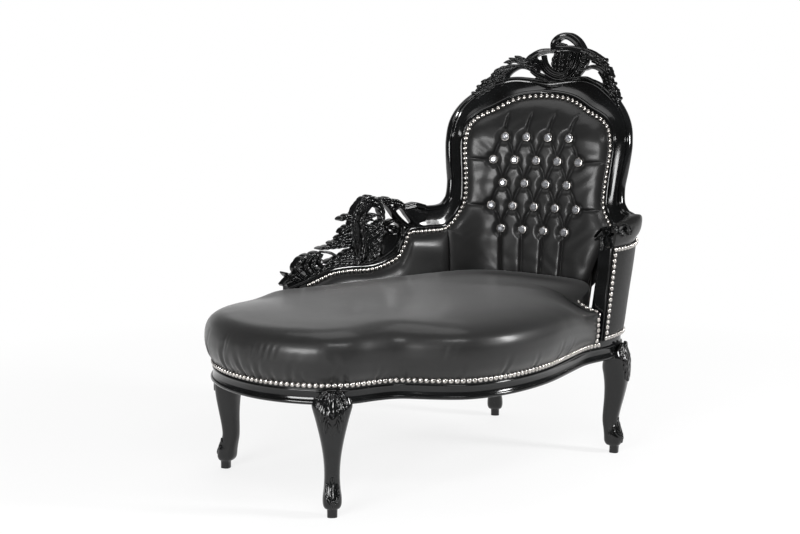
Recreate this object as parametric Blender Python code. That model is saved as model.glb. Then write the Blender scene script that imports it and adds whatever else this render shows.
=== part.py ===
"""A chaise longue: a carved black frame, a crowned seat, a low side, one arm and a tall buttoned back.

Metres, Z up. X runs along the seat towards the tall back, and Y towards the low side. The plan is laid out from the
middle of the legs' rectangle. The low side, the tall back and the arm stand on one long wall line, so each piece of
them is drawn flat, as a distance along the wall, a distance out from it and a height, and is then bent onto it.
"""

import math

import bmesh
import bpy
import numpy as np
from mathutils import Vector
from mathutils.bvhtree import BVHTree

# Overall sizes
SEAT_LENGTH = 1.180
SEAT_DEPTH = 0.751
HEIGHT = 1.200
LEG_SPAN = SEAT_LENGTH * 0.8305
LEG_DEPTH_SPAN = SEAT_DEPTH * 0.7084
LEG_HEIGHT = 0.288

# Fits
GAP = 0.0003
SOFT_GAP = 0.0006
MERGE = 0.00001
FLAT_ANGLE = math.radians(1)
SHARP_ANGLE = math.radians(35)
PLAN_STEPS = 24
LADDER_STEPS = 40
SEARCH_STEPS = 4000

# Seat frame
RAIL_STATIONS = 52
RAIL_THICKNESS = 0.028
RAIL_HEIGHT = 0.057
BEAD_HEIGHT = 0.011
BEAD_NECK = 0.003
BEAD_OUT = 0.006
STEP_HEIGHT = 0.020
STEP_DEPTH = 0.0035
POST_WIDTH = 0.110
BLOCK_REACH = 0.110
BLOCK_DEPTH = 0.012
BLOCK_LIFT = 0.010
STRAP_PITCH = 0.125
STRAP_SLOT = 0.070
SLOT_MARGIN_SHARE = 0.65
STRAP_THICKNESS = 0.002
DUST_COVER_LIFT = 0.003
DUST_COVER_EDGE = 0.0015
DUST_COVER_THICKNESS = 0.0012

# Legs
KNEE_WIDTH = 0.106
LEG_SQUARENESS = 0.75

# Seat cushion
CUSHION_STATIONS = 38
SEAT_CROWN = 0.145
SEAT_BULGE = 0.020
LEATHER = 0.003

# Wall line: the low side, the back and the arm
WALL_RISE = 0.655
WALL_MEASURE_SHARE = 0.40
WALL_STATIONS = 20
TURN_WEIGHT = 0.30
LOW_LEVELS = 4
ROLL_LEVELS = 6
ROLL_START = HEIGHT * 0.7333
ROLL_OUT = 0.120
ROLL_SOFT_SHARE = 0.15

# Show frame
BACK_HALF_WIDTH = 0.273
BACK_CENTRE_SHARE = 0.6495
FRAME_REAR = 0.024
FRAME_FRONT = 0.010
FRAME_EDGE_BACK = 0.010
RABBET = 0.0078
NAIL_MARGIN = 0.0070
CORE_FRONT = 0.002
CORE_REAR = 0.022
POST_INNER = 0.2285
POST_OUTER = 0.254
SIDE_POST_WIDTH = 0.038
STILE_JOINT_ROW = 9.5
JOINT_ROWS = 0.022
POST_HEAD = HEIGHT * 0.615

# Panels in the wall
BOARD_FRONT = 0.012
BOARD_REAR = 0.018
BACK_COVER_THICKNESS = 0.0022
PAD_FOOT = 0.400
BOTTOM_RAIL_DROP = 0.025
BOTTOM_RAIL_RISE = 0.020
SLOT_TOP = 0.470
SLOT_START = 0.205
SLOT_SPREAD_SHARE = 0.28
SEAM_SHARE = 1.045
BACK_PUFF = 0.032
SIDE_PUFF = 0.030
PAD_END_SHARE = 0.5
ARM_PUFF = 0.024
EDGE_SOFTNESS = 0.020

# Tufting and buttons
COLUMN_PITCH = 0.067
ROW_PITCH = HEIGHT * 0.05833
FIRST_ROW_HEIGHT = HEIGHT * 0.7408
STEPS_PER_ROW = 4
TUFTED_STEPS = 18
PLAIN_STEP_SHARE = 0.1
FAN_SHARE = 0.028
NEIGHBOUR_SHARE = 0.75
CORNER_SHARE = 0.40
OUTER_COLUMNS = 3
TUFT_DEPTH = 0.016
TUFT_RADIUS = 0.017
PLEAT_DEPTH = 0.007
PLEAT_WIDTH = 0.008
BUTTON_RADIUS = 0.011
BUTTON_HEIGHT = 0.006
BUTTON_SIDES = 8
BUTTON_ROWS = (4, 5, 4, 5, 4)

# Nails
NAIL_SIZE = 0.013
NAIL_RISE = 0.003
NAIL_EDGE = 0.008
COVER_EDGE = NAIL_MARGIN - SOFT_GAP
COVER_MARGIN = 2 * NAIL_EDGE

# Arm
ARM_END_SHARE = 0.9700
ARM_PAD_LENGTH = 0.150
PAD_RISE = 0.042
PAD_HALF_WIDTH = 0.024
PAD_SIDES = 8

# Carvings
CREST_FRONT = 0.002
CREST_REAR = 0.026
CARVING_FRONT = 0.006
CARVING_REAR = 0.016

RAIL_BOTTOM = LEG_HEIGHT
RAIL_TOP = RAIL_BOTTOM + RAIL_HEIGHT
WALL_FOOT = RAIL_TOP + GAP
BOTTOM_RAIL_LOW = PAD_FOOT - BOTTOM_RAIL_DROP
BOTTOM_RAIL_HIGH = PAD_FOOT + BOTTOM_RAIL_RISE

# Plan of the rails' outer face, anticlockwise from the front foot-end leg: shares of the seat's length and depth
RAIL_PLAN_SHARES = [
    (-0.441, -0.333), (-0.381, -0.389), (-0.326, -0.399), (-0.271, -0.423), (-0.220, -0.499), (-0.153, -0.575),
    (-0.051, -0.593), (0.068, -0.557), (0.175, -0.486), (0.271, -0.419), (0.334, -0.406), (0.381, -0.390),
    (0.432, -0.357), (0.464, -0.290), (0.473, -0.173), (0.464, -0.040), (0.453, 0.080), (0.444, 0.200),
    (0.414, 0.330), (0.339, 0.391), (0.237, 0.406), (0.085, 0.407), (-0.085, 0.407), (-0.237, 0.402),
    (-0.339, 0.386), (-0.407, 0.349), (-0.466, 0.280), (-0.508, 0.173), (-0.527, 0.040), (-0.521, -0.107),
    (-0.492, -0.226),
]

# Plan of the seat cushion, which stands clear of the back, the side and the arm stump: the same shares
CUSHION_PLAN_SHARES = [
    (-0.441, -0.333), (-0.381, -0.389), (-0.326, -0.399), (-0.271, -0.423), (-0.220, -0.499), (-0.153, -0.575),
    (-0.051, -0.593), (0.068, -0.557), (0.175, -0.486), (0.250, -0.430), (0.292, -0.403), (0.310, -0.366),
    (0.326, -0.313), (0.373, -0.273), (0.400, -0.200), (0.402, -0.093), (0.385, 0.013), (0.364, 0.120),
    (0.338, 0.212), (0.292, 0.276), (0.224, 0.306), (0.085, 0.313), (-0.085, 0.313), (-0.212, 0.310),
    (-0.285, 0.328), (-0.344, 0.368), (-0.407, 0.344), (-0.466, 0.280), (-0.508, 0.173), (-0.527, 0.040),
    (-0.521, -0.107), (-0.492, -0.226),
]
FREE_EDGE_END_SHARES = (0.300, -0.300)
TRIM_START_SHARES = (-0.280, 0.402)
SPINE_SHARES = [(-0.345, -0.040), (0.270, -0.010)]

# Plan of the wall line at its foot and higher up, from the foot end round to the arm: the same shares
WALL_FOOT_SHARES = [
    (-0.356, 0.368), (-0.254, 0.373), (-0.127, 0.377), (0.000, 0.378), (0.127, 0.378), (0.229, 0.374),
    (0.305, 0.354), (0.363, 0.296), (0.395, 0.202), (0.415, 0.107), (0.433, 0.007), (0.447, -0.093),
    (0.456, -0.186), (0.449, -0.273), (0.419, -0.329), (0.381, -0.360), (0.339, -0.383), (0.305, -0.396),
]
WALL_HEAD_SHARES = [
    (-0.356, 0.379), (-0.254, 0.389), (-0.127, 0.395), (0.000, 0.399), (0.127, 0.402), (0.229, 0.407),
    (0.314, 0.415), (0.374, 0.344), (0.422, 0.242), (0.462, 0.132), (0.497, 0.019), (0.529, -0.095),
    (0.555, -0.200), (0.551, -0.273), (0.517, -0.329), (0.449, -0.386), (0.398, -0.399), (0.363, -0.408),
]

# One half of the back's frame, from the middle of the top down to the low side: each row gives a point of the nail
# line and its partner on the outer edge, as shares of the back's half width and of the height
FRAME_LADDER_SHARES = [
    (0.000, 0.843, 0.000, 0.882), (0.165, 0.840, 0.183, 0.888), (0.286, 0.833, 0.348, 0.890),
    (0.385, 0.821, 0.495, 0.879), (0.480, 0.807, 0.604, 0.862), (0.579, 0.796, 0.703, 0.844),
    (0.674, 0.782, 0.795, 0.822), (0.744, 0.763, 0.879, 0.796), (0.784, 0.738, 0.952, 0.765),
    (0.799, 0.713, 0.993, 0.733), (0.799, 0.679, 1.000, 0.696), (0.795, 0.650, 0.996, 0.658),
    (0.795, 0.621, 0.989, 0.625), (0.808, 0.583, 1.011, 0.593), (0.842, 0.562, 1.044, 0.581),
    (0.897, 0.544, 1.084, 0.573), (0.952, 0.530, 1.136, 0.570), (1.033, 0.514, 1.190, 0.569),
    (1.110, 0.507, 1.245, 0.569),
]
RIGHT_STILE_ROWS = 17

# The low side's show rail, from the foot end: nail line and upper edge, as shares of the wall's length and the height
SIDE_LADDER_SHARES = [
    (0.0958, 0.3900, 0.0958, 0.4150), (0.1278, 0.4000, 0.1246, 0.4267), (0.1489, 0.4075, 0.1438, 0.4367),
    (0.1719, 0.4167, 0.1674, 0.4458), (0.1962, 0.4250, 0.1930, 0.4508), (0.2339, 0.4267, 0.2339, 0.4525),
    (0.2792, 0.4242, 0.2792, 0.4508), (0.3131, 0.4317, 0.3086, 0.4567), (0.3323, 0.4400, 0.3246, 0.4633),
    (0.3463, 0.4483, 0.3361, 0.4725), (0.3553, 0.4633, 0.3425, 0.4858), (0.3636, 0.4817, 0.3502, 0.5000),
    (0.3706, 0.5017, 0.3578, 0.5142), (0.3808, 0.5067, 0.3783, 0.5200), (0.4089, 0.5063, 0.4064, 0.5692),
    (0.4300, 0.5063, 0.4230, 0.5692),
]

# The arm's show rail, from the back round to the stump: the same shares
ARM_LADDER_SHARES = [
    (0.8480, 0.5210, 0.8750, 0.5640), (0.8820, 0.5150, 0.9000, 0.5560), (0.9200, 0.5120, 0.9290, 0.5480),
    (0.9500, 0.5110, 0.9540, 0.5430), (0.9740, 0.5110, 0.9760, 0.5410),
]

# The carving above the low side's show rail: its top outline and its openings, the same shares
SIDE_CARVING_SHARES = [
    (0.0850, 0.4417), (0.1022, 0.4425), (0.1131, 0.4567), (0.1316, 0.4750), (0.1565, 0.4825), (0.1597, 0.4925),
    (0.1821, 0.4908), (0.1853, 0.5000), (0.2006, 0.5042), (0.2077, 0.5142), (0.2096, 0.5242), (0.2173, 0.5375),
    (0.2211, 0.5508), (0.2096, 0.5567), (0.2243, 0.5650), (0.2377, 0.5733), (0.2505, 0.5950), (0.2696, 0.6042),
    (0.2895, 0.5992), (0.3022, 0.5942), (0.3118, 0.5992), (0.3310, 0.5958), (0.3482, 0.5875), (0.3585, 0.5800),
    (0.3744, 0.5750), (0.3885, 0.5817), (0.4000, 0.5765),
]
SIDE_OPENING_SHARES = [
    [(0.3591, 0.5675), (0.3668, 0.5617), (0.3776, 0.5475), (0.3834, 0.5375), (0.3783, 0.5333), (0.3693, 0.5383),
     (0.3610, 0.5517)],
    [(0.3144, 0.5675), (0.3220, 0.5767), (0.3265, 0.5667), (0.3284, 0.5542), (0.3208, 0.5492), (0.3112, 0.5475)],
    [(0.3176, 0.5367), (0.3240, 0.5433), (0.3316, 0.5417), (0.3272, 0.5333), (0.3297, 0.5242), (0.3220, 0.5250)],
    [(0.2760, 0.5725), (0.2831, 0.5808), (0.2901, 0.5717), (0.2831, 0.5675)],
    [(0.2441, 0.5200), (0.2524, 0.5217), (0.2537, 0.5108), (0.2492, 0.5000), (0.2428, 0.5033)],
    [(0.1955, 0.4733), (0.2096, 0.4817), (0.2230, 0.4867), (0.2192, 0.4750), (0.2064, 0.4683)],
    [(0.1674, 0.4592), (0.1732, 0.4683), (0.1847, 0.4708), (0.1955, 0.4667), (0.1827, 0.4608)],
]

# One half of the crest: its top outline and its openings, as shares of the back's half width and of the height
CREST_SHARES = [
    (0.689, 0.852), (0.663, 0.867), (0.630, 0.877), (0.579, 0.883), (0.564, 0.892),
    (0.546, 0.902), (0.502, 0.911), (0.469, 0.918), (0.480, 0.924), (0.454, 0.931), (0.418, 0.940),
    (0.366, 0.945), (0.315, 0.945), (0.267, 0.953), (0.220, 0.960), (0.165, 0.963), (0.125, 0.964),
    (0.128, 0.975), (0.121, 0.985), (0.095, 0.993), (0.051, 0.998), (0.000, 1.000),
]
CREST_OPENING_SHARES = [
    [(0.432, 0.896), (0.403, 0.902), (0.359, 0.907), (0.289, 0.909), (0.234, 0.907), (0.190, 0.901),
     (0.264, 0.899), (0.348, 0.898)],
    [(0.136, 0.941), (0.106, 0.945), (0.073, 0.941), (0.062, 0.927), (0.051, 0.915), (0.081, 0.913),
     (0.114, 0.922), (0.132, 0.932)],
]
CREST_EYE_SHARES = [
    (0.048, 0.978), (0.022, 0.982), (-0.022, 0.982), (-0.048, 0.978), (-0.026, 0.973), (0.026, 0.973),
]

# The show rail's moulded face from its rabbet out: share of the width and of the greatest thickness
SHOW_RAIL_SHARES = [(0.00, 0.60), (0.12, 1.00), (0.55, 0.10)]

# Leg rings from the knee's top to the floor: height over the leg's height, then the middle's offset outwards, half
# the depth and half the width over the knee's width
LEG_RING_SHARES = [
    (1.118, -0.085, 0.120, 0.300), (1.060, -0.060, 0.180, 0.430), (1.000, -0.035, 0.220, 0.490),
    (0.910, 0.000, 0.240, 0.430), (0.800, 0.035, 0.225, 0.350), (0.690, 0.035, 0.200, 0.283),
    (0.555, -0.010, 0.180, 0.222), (0.435, -0.065, 0.165, 0.193), (0.330, -0.090, 0.156, 0.193),
    (0.245, -0.030, 0.170, 0.212), (0.155, 0.010, 0.198, 0.231), (0.075, -0.005, 0.160, 0.175),
    (0.060, 0.000, 0.120, 0.120), (0.000, 0.000, 0.120, 0.120),
]
LEG_SIDES = 10

# Cushion rings from the skirt up: share of the bulge, share of the crown's height, share of the way to the spine,
# and how much of the leather's thickness lies across and upwards
CUSHION_RING_SHARES = [
    (0.00, 0.000, 0.00, 1.0, 0.0), (0.65, 0.140, 0.00, 1.0, 0.0), (1.00, 0.330, 0.00, 1.0, 0.0),
    (1.00, 0.520, 0.00, 1.0, 0.0), (0.45, 0.690, 0.00, 0.9, 0.4), (-0.60, 0.830, 0.00, 0.6, 0.8),
    (-0.60, 0.915, 0.14, 0.2, 1.0), (-0.60, 0.960, 0.34, 0.0, 1.0), (-0.60, 0.985, 0.60, 0.0, 1.0),
    (-0.60, 1.000, 0.90, 0.0, 1.0),
]

# The strip of nail heads across: share of a nail's width and of its rise
NAIL_SHARES = [(-0.5, 0.0), (-0.25, 1.0), (0.25, 1.0), (0.5, 0.0)]

# Button rings from its seat up: share of the radius and of the height
BUTTON_RING_SHARES = [(1.00, 0.00), (0.95, 0.50), (0.45, 1.00)]

# A pad's profile from its foot up: share of its height and share of its puff
PAD_PROFILE_SHARES = [(0.00, 0.40), (0.15, 0.80), (0.45, 1.00), (0.75, 0.90), (0.93, 0.50)]

# Stump rings: height over the stump's height, then half the width along the wall and the inner and outer side, over
# the frame's rear
STUMP_RING_SHARES = [
    (0.00, 0.50, -1.00, 0.86), (0.30, 0.52, -1.00, 0.86), (0.60, 0.58, -1.04, 0.88), (0.85, 0.68, -1.10, 0.90),
    (1.00, 0.84, -1.20, 0.92),
]

FINISHES = {
    "black_lacquer": ((0.006, 0.006, 0.007), 0.12, 0.0),
    "leather": ((0.018, 0.017, 0.018), 0.42, 0.0),
    "backing": ((0.030, 0.030, 0.030), 0.85, 0.0),
    "foam": ((0.62, 0.56, 0.40), 0.95, 0.0),
    "webbing": ((0.34, 0.26, 0.16), 0.90, 0.0),
    "board": ((0.45, 0.33, 0.20), 0.80, 0.0),
    "beech": ((0.50, 0.36, 0.22), 0.70, 0.0),
    "nickel": ((0.75, 0.74, 0.72), 0.22, 1.0),
    "crystal": ((0.82, 0.83, 0.85), 0.08, 0.6),
}


def smooth(points, per_span, closed=False):
    """A curve through all the points, with this many steps from each to the next."""
    points = np.array(points, float)
    if closed:
        padded = np.vstack([points[-1:], points, points[:2]])
    else:
        padded = np.vstack([2 * points[0] - points[1], points, 2 * points[-1] - points[-2]])
    curve = []
    for i in range(len(padded) - 3):
        before, start, end, after = padded[i:i + 4]
        for t in np.arange(per_span) / per_span:
            curve.append(0.5 * (2 * start + (end - before) * t
                                + (2 * before - 5 * start + 4 * end - after) * t ** 2
                                + (3 * start - 3 * end + after - before) * t ** 3))
    if not closed:
        curve.append(points[-1])
    return np.array(curve)


def lengths_along(points):
    return np.concatenate([[0.0], np.cumsum(np.linalg.norm(np.diff(points, axis=0), axis=1))])


def unit(vectors):
    return vectors / np.linalg.norm(vectors, axis=-1, keepdims=True)


def scaled(shares, across, up):
    """Pairs of shares, two or four to a row, as sizes."""
    return [tuple(value * (across, up)[i % 2] for i, value in enumerate(row)) for row in shares]


def in_plan(shares):
    return scaled(shares, SEAT_LENGTH, SEAT_DEPTH)


class Loop:
    """A closed plan line, anticlockwise, straight between even stations, with the direction out of it at each."""

    def __init__(self, shares, stations):
        curve = smooth(in_plan(shares), PLAN_STEPS, closed=True)
        curve = np.vstack([curve, curve[:1]])
        along = lengths_along(curve)
        self.length = along[-1]
        self.marks = np.linspace(0.0, self.length, stations + 1)
        self.points = np.stack([np.interp(self.marks, along, curve[:, axis]) for axis in (0, 1)], -1)
        ahead = np.roll(self.points[:-1], -1, axis=0) - np.roll(self.points[:-1], 1, axis=0)
        outward = unit(np.stack([ahead[:, 1], -ahead[:, 0]], -1))
        self.outward = np.vstack([outward, outward[:1]])

    def at(self, along, out=0.0):
        along = along % self.length
        place = [np.interp(along, self.marks, self.points[:, axis]) for axis in (0, 1)]
        outward = [np.interp(along, self.marks, self.outward[:, axis]) for axis in (0, 1)]
        return np.array(place) + np.array(outward) * out

    def outward_at(self, along):
        return unit(self.at(along, 1.0) - self.at(along))

    def nearest(self, point):
        tries = np.linspace(0.0, self.length, SEARCH_STEPS, endpoint=False)
        return min(tries, key=lambda along: np.linalg.norm(self.at(along) - point))

    def span(self, start, end):
        """The lengths from start to end, with every station between them."""
        end = end if end > start else end + self.length
        marks = np.concatenate([self.marks[:-1], self.marks[:-1] + self.length])
        inside = marks[(marks > start + MERGE) & (marks < end - MERGE)]
        return [start, *inside, end]


class Wall:
    """The long wall surface, as a lattice of flat triangles. A place on it is along, out and height.

    The lattice's columns crowd where the wall turns, and its levels where the back rolls outwards at the top.
    """

    def __init__(self):
        foot, head = (smooth(in_plan(shares), PLAN_STEPS) for shares in (WALL_FOOT_SHARES, WALL_HEAD_SHARES))
        middle = foot + (head - foot) * WALL_MEASURE_SHARE
        along = lengths_along(middle)
        self.length = along[-1]
        ahead = unit(np.gradient(middle, axis=0))
        turned = np.abs(np.diff(np.unwrap(np.arctan2(ahead[:, 1], ahead[:, 0]))))
        measure = along + np.concatenate([[0.0], np.cumsum(turned)]) * TURN_WEIGHT
        self.marks = np.interp(np.linspace(0.0, measure[-1], WALL_STATIONS + 1), measure, along)
        low_levels = np.linspace(WALL_FOOT, ROLL_START, LOW_LEVELS + 1)
        self.levels = np.concatenate([low_levels[:-1], np.linspace(ROLL_START, HEIGHT, ROLL_LEVELS + 1)])
        outward = np.stack([-ahead[:, 1], ahead[:, 0]], -1)
        foot, head, outward = (np.stack([np.interp(self.marks, along, line[:, axis]) for axis in (0, 1)], -1)
                               for line in (foot, head, outward))
        rise = np.maximum(self.levels - ROLL_START, 0.0) / (HEIGHT - ROLL_START)
        roll = ROLL_OUT * rise ** 2 / (rise + ROLL_SOFT_SHARE)
        level = (self.levels - WALL_FOOT) / WALL_RISE
        self.outward = unit(outward)
        self.lattice = (foot[:, None] + (head - foot)[:, None] * level[None, :, None]
                        + self.outward[:, None] * roll[None, :, None])

    def numbers(self, along, height):
        """A place as its column and level numbers, which may lie between two."""
        column = np.interp(along, self.marks, np.arange(len(self.marks)))
        return column, np.interp(height, self.levels, np.arange(len(self.levels)))

    def place(self, column, level, out):
        i, j = (min(int(number), count - 2) for number, count in zip((column, level), self.lattice.shape))
        across, up = column - i, level - j
        near, far = self.lattice[i, j], self.lattice[i + 1, j + 1]
        turn = self.lattice[i + 1, j] if across > up else self.lattice[i, j + 1]
        first, second = (across, up) if across > up else (up, across)
        outward = self.outward[i] + (self.outward[i + 1] - self.outward[i]) * across
        x, y = near + (turn - near) * first + (far - turn) * second + outward * out
        return Vector((x, y, self.levels[j] + (self.levels[j + 1] - self.levels[j]) * up))

    def at(self, along, out, height):
        column, level = self.numbers(along, height)
        return self.place(column, level, out)

    def bend(self, mesh, parts=None):
        """Cuts a flat mesh, or only some of its faces, along the lattice and bends it onto the wall."""
        parts = mesh.faces[:] if parts is None else parts

        def cut(parts, place, direction):
            edges = {edge for face in parts for edge in face.edges}
            verts = {vert for face in parts for vert in face.verts}
            found = bmesh.ops.bisect_plane(mesh, geom=[*verts, *edges, *parts], dist=MERGE, plane_co=place,
                                           plane_no=direction)["geom"]
            return [part for part in found if isinstance(part, bmesh.types.BMFace)]

        for mark in self.marks:
            parts = cut(parts, (mark, 0, 0), (1, 0, 0))
        for level in self.levels:
            parts = cut(parts, (0, 0, level), (0, 0, 1))
        for vert in mesh.verts:
            vert.co.x, vert.co.z = self.numbers(vert.co.x, vert.co.z)
        for number in range(-len(self.levels), len(self.marks)):
            parts = cut(parts, (number, 0, 0), (1, 0, -1))
        for vert in mesh.verts:
            vert.co = self.place(vert.co.x, vert.co.z, vert.co.y)
        return mesh


RAIL_LOOP = Loop(RAIL_PLAN_SHARES, RAIL_STATIONS)
CUSHION_LOOP = Loop(CUSHION_PLAN_SHARES, CUSHION_STATIONS)
WALL = Wall()
BACK_CENTRE = WALL.length * BACK_CENTRE_SHARE
ARM_END = WALL.length * ARM_END_SHARE


def on_wall(shares):
    return scaled(shares, WALL.length, HEIGHT)


def on_back(shares, side=1):
    """Shares of the back's half width and of the height, on one side of the back's middle."""
    rows = scaled(shares, BACK_HALF_WIDTH * side, HEIGHT)
    return [tuple(value + BACK_CENTRE if i % 2 == 0 else value for i, value in enumerate(row)) for row in rows]


def finish(name):
    colour, roughness, metallic = FINISHES[name]
    material = bpy.data.materials.get(name) or bpy.data.materials.new(name)
    material.use_nodes = True
    shader = material.node_tree.nodes["Principled BSDF"]
    shader.inputs["Base Color"].default_value = (*colour, 1.0)
    shader.inputs["Roughness"].default_value = roughness
    shader.inputs["Metallic"].default_value = metallic
    return material


def piece(name, mesh, finish_name):
    """Makes a named object of a bmesh and hangs it on the chaise."""
    mesh.normal_update()
    bmesh.ops.recalc_face_normals(mesh, faces=mesh.faces)
    if mesh.calc_volume(signed=True) < 0:
        bmesh.ops.reverse_faces(mesh, faces=mesh.faces)
    data = bpy.data.meshes.new(name)
    mesh.to_mesh(data)
    mesh.free()
    data.shade_smooth()
    data.set_sharp_from_angle(angle=SHARP_ANGLE)
    data.materials.append(finish(finish_name))
    made = bpy.data.objects.new(name, data)
    made.parent = CHAISE
    bpy.context.scene.collection.objects.link(made)
    return made


def joined(body, extra):
    """Joins a second solid to the first with a Boolean union."""
    extra.hide_render = True
    extra.display_type = "WIRE"
    union = body.modifiers.new("joined", "BOOLEAN")
    union.operation = "UNION"
    union.object = extra
    return body


def skin(rings):
    """Faces over closed rings of equal count, with flat ends."""
    mesh = bmesh.new()
    rows = [[mesh.verts.new(point) for point in ring] for ring in rings]
    count = len(rows[0])
    for low, high in zip(rows, rows[1:]):
        for i in range(count):
            j = (i + 1) % count
            mesh.faces.new((low[i], low[j], high[j], high[i]))
    mesh.faces.new(rows[0])
    mesh.faces.new(rows[-1])
    return mesh


def plate(outline, openings, front, rear):
    """A flat plate in wall places, with openings through it."""
    mesh = bmesh.new()
    edges = []
    for line in [outline, *openings]:
        verts = [mesh.verts.new((along, front, height)) for along, height in line]
        if not openings:
            mesh.faces.new(verts)
        edges += [mesh.edges.get(pair) or mesh.edges.new(pair) for pair in zip(verts, verts[1:] + verts[:1])]
    if openings:
        bmesh.ops.triangle_fill(mesh, edges=edges, use_beauty=True)
        inner = [edge for edge in mesh.edges if not edge.is_boundary]
        bmesh.ops.dissolve_limit(mesh, angle_limit=FLAT_ANGLE, verts=[], edges=inner)
    grown = bmesh.ops.extrude_face_region(mesh, geom=mesh.faces[:])["geom"]
    far = [vert for vert in grown if isinstance(vert, bmesh.types.BMVert)]
    bmesh.ops.translate(mesh, vec=(0, rear - front, 0), verts=far)
    return mesh


def plan_plate(outline, openings, low, high):
    """A level plate with openings through it, given in plan."""
    mesh = plate(outline, openings, low, high)
    for vert in mesh.verts:
        vert.co = Vector((vert.co.x, vert.co.z, vert.co.y))
    return mesh


def box_outline(start, end, low, high):
    return [(start, low), (end, low), (end, high), (start, high)]


# Seat frame

def rail_section():
    top = RAIL_TOP
    bead_top = RAIL_BOTTOM + BEAD_HEIGHT
    return [
        (-RAIL_THICKNESS, RAIL_BOTTOM), (BEAD_NECK, RAIL_BOTTOM), (BEAD_OUT, (RAIL_BOTTOM + bead_top) / 2),
        (BEAD_NECK, bead_top), (0.0, bead_top + BEAD_NECK), (0.0, top - STEP_HEIGHT),
        (-STEP_DEPTH, top - STEP_HEIGHT), (-STEP_DEPTH, top), (-RAIL_THICKNESS, top),
    ]


def swept_on_rails(section, start, end):
    rings = []
    for along in RAIL_LOOP.span(start, end):
        rings.append([(*RAIL_LOOP.at(along, out), height) for out, height in section])
    return skin(rings)


def leg_places():
    """Each leg's name, its foot in plan and its length along the rails, anticlockwise from the front foot end."""
    half_span, half_depth = LEG_SPAN / 2, LEG_DEPTH_SPAN / 2
    feet = {
        "front_foot_end_leg": (-half_span, -half_depth), "front_head_end_leg": (half_span, -half_depth),
        "rear_head_end_leg": (half_span, half_depth), "rear_foot_end_leg": (-half_span, half_depth),
    }
    return [(name, np.array(foot), RAIL_LOOP.nearest(foot)) for name, foot in feet.items()]


def make_leg(name, foot, along):
    post = swept_on_rails(rail_section(), along - POST_WIDTH / 2, along + POST_WIDTH / 2)
    outward = RAIL_LOOP.outward_at(along)
    sideways = np.array([-outward[1], outward[0]])
    rings = []
    for level, offset, half_depth, half_width in LEG_RING_SHARES:
        middle = foot + (RAIL_LOOP.at(along) - foot) * min(level, 1.0) + outward * offset * KNEE_WIDTH
        ring = []
        for turn in np.arange(LEG_SIDES) / LEG_SIDES * math.tau:
            across, out = (math.copysign(abs(part) ** LEG_SQUARENESS, part)
                           for part in (math.cos(turn), math.sin(turn)))
            x, y = middle + sideways * across * half_width * KNEE_WIDTH + outward * out * half_depth * KNEE_WIDTH
            ring.append((x, y, level * LEG_HEIGHT))
        rings.append(ring)
    leg = piece(name, skin(rings), "black_lacquer")
    return joined(leg, piece(name + "_post", post, "black_lacquer"))


def make_corner_block(name, along):
    inner = -(RAIL_THICKNESS + GAP)
    marks = RAIL_LOOP.span(along - BLOCK_REACH, along + BLOCK_REACH)
    outline = [tuple(RAIL_LOOP.at(mark, inner)) for mark in marks]
    outline += [tuple(RAIL_LOOP.at(mark, inner - BLOCK_DEPTH)) for mark in (marks[-1], marks[0])]
    low, high = RAIL_BOTTOM + BLOCK_LIFT, RAIL_TOP - STRAP_THICKNESS - GAP
    piece(name, plan_plate(outline, [], low, high), "beech")


def make_seat_frame():
    places = leg_places()
    rails = ["front_seat_rail", "head_end_seat_rail", "rear_seat_rail", "foot_end_seat_rail"]
    for i, (name, foot, along) in enumerate(places):
        make_leg(name, foot, along)
        make_corner_block(name.replace("leg", "corner_block"), along)
        start = along + POST_WIDTH / 2 + GAP
        end = places[(i + 1) % 4][2] - POST_WIDTH / 2 - GAP
        piece(rails[i], swept_on_rails(rail_section(), start, end), "black_lacquer")


def inner_outline(clearance):
    return [tuple(RAIL_LOOP.at(mark, -(RAIL_THICKNESS + clearance))) for mark in RAIL_LOOP.marks[:-1]]


def inside_polygon(point, outline, margin):
    """Whether the point lies inside the outline and at least the margin from its corners."""
    x, y = point
    crossings = 0
    for (x1, y1), (x2, y2) in zip(outline, outline[1:] + outline[:1]):
        if (y1 > y) != (y2 > y) and x < x1 + (y - y1) / (y2 - y1) * (x2 - x1):
            crossings += 1
        if math.dist(point, (x1, y1)) < margin:
            return False
    return crossings % 2 == 1


def make_webbing():
    """Crossed straps between the rails, as one sheet with square slots between them."""
    outline = inner_outline(GAP)
    slots = []
    half = STRAP_SLOT / 2
    columns, rows = (int(size / STRAP_PITCH / 2) + 1 for size in (SEAT_LENGTH, SEAT_DEPTH))
    for column in range(-columns, columns + 1):
        for row in range(-rows, rows + 1):
            x, y = column * STRAP_PITCH, row * STRAP_PITCH
            if inside_polygon((x, y), outline, STRAP_PITCH * SLOT_MARGIN_SHARE):
                slots.append([(x - half, y - half), (x + half, y - half), (x + half, y + half), (x - half, y + half)])
    piece("seat_webbing", plan_plate(outline, slots, RAIL_TOP - STRAP_THICKNESS, RAIL_TOP), "webbing")
    low = RAIL_BOTTOM + DUST_COVER_LIFT
    outline = inner_outline(DUST_COVER_EDGE)
    piece("seat_dust_cover", plan_plate(outline, [], low, low + DUST_COVER_THICKNESS), "backing")


# Seat cushion

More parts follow.
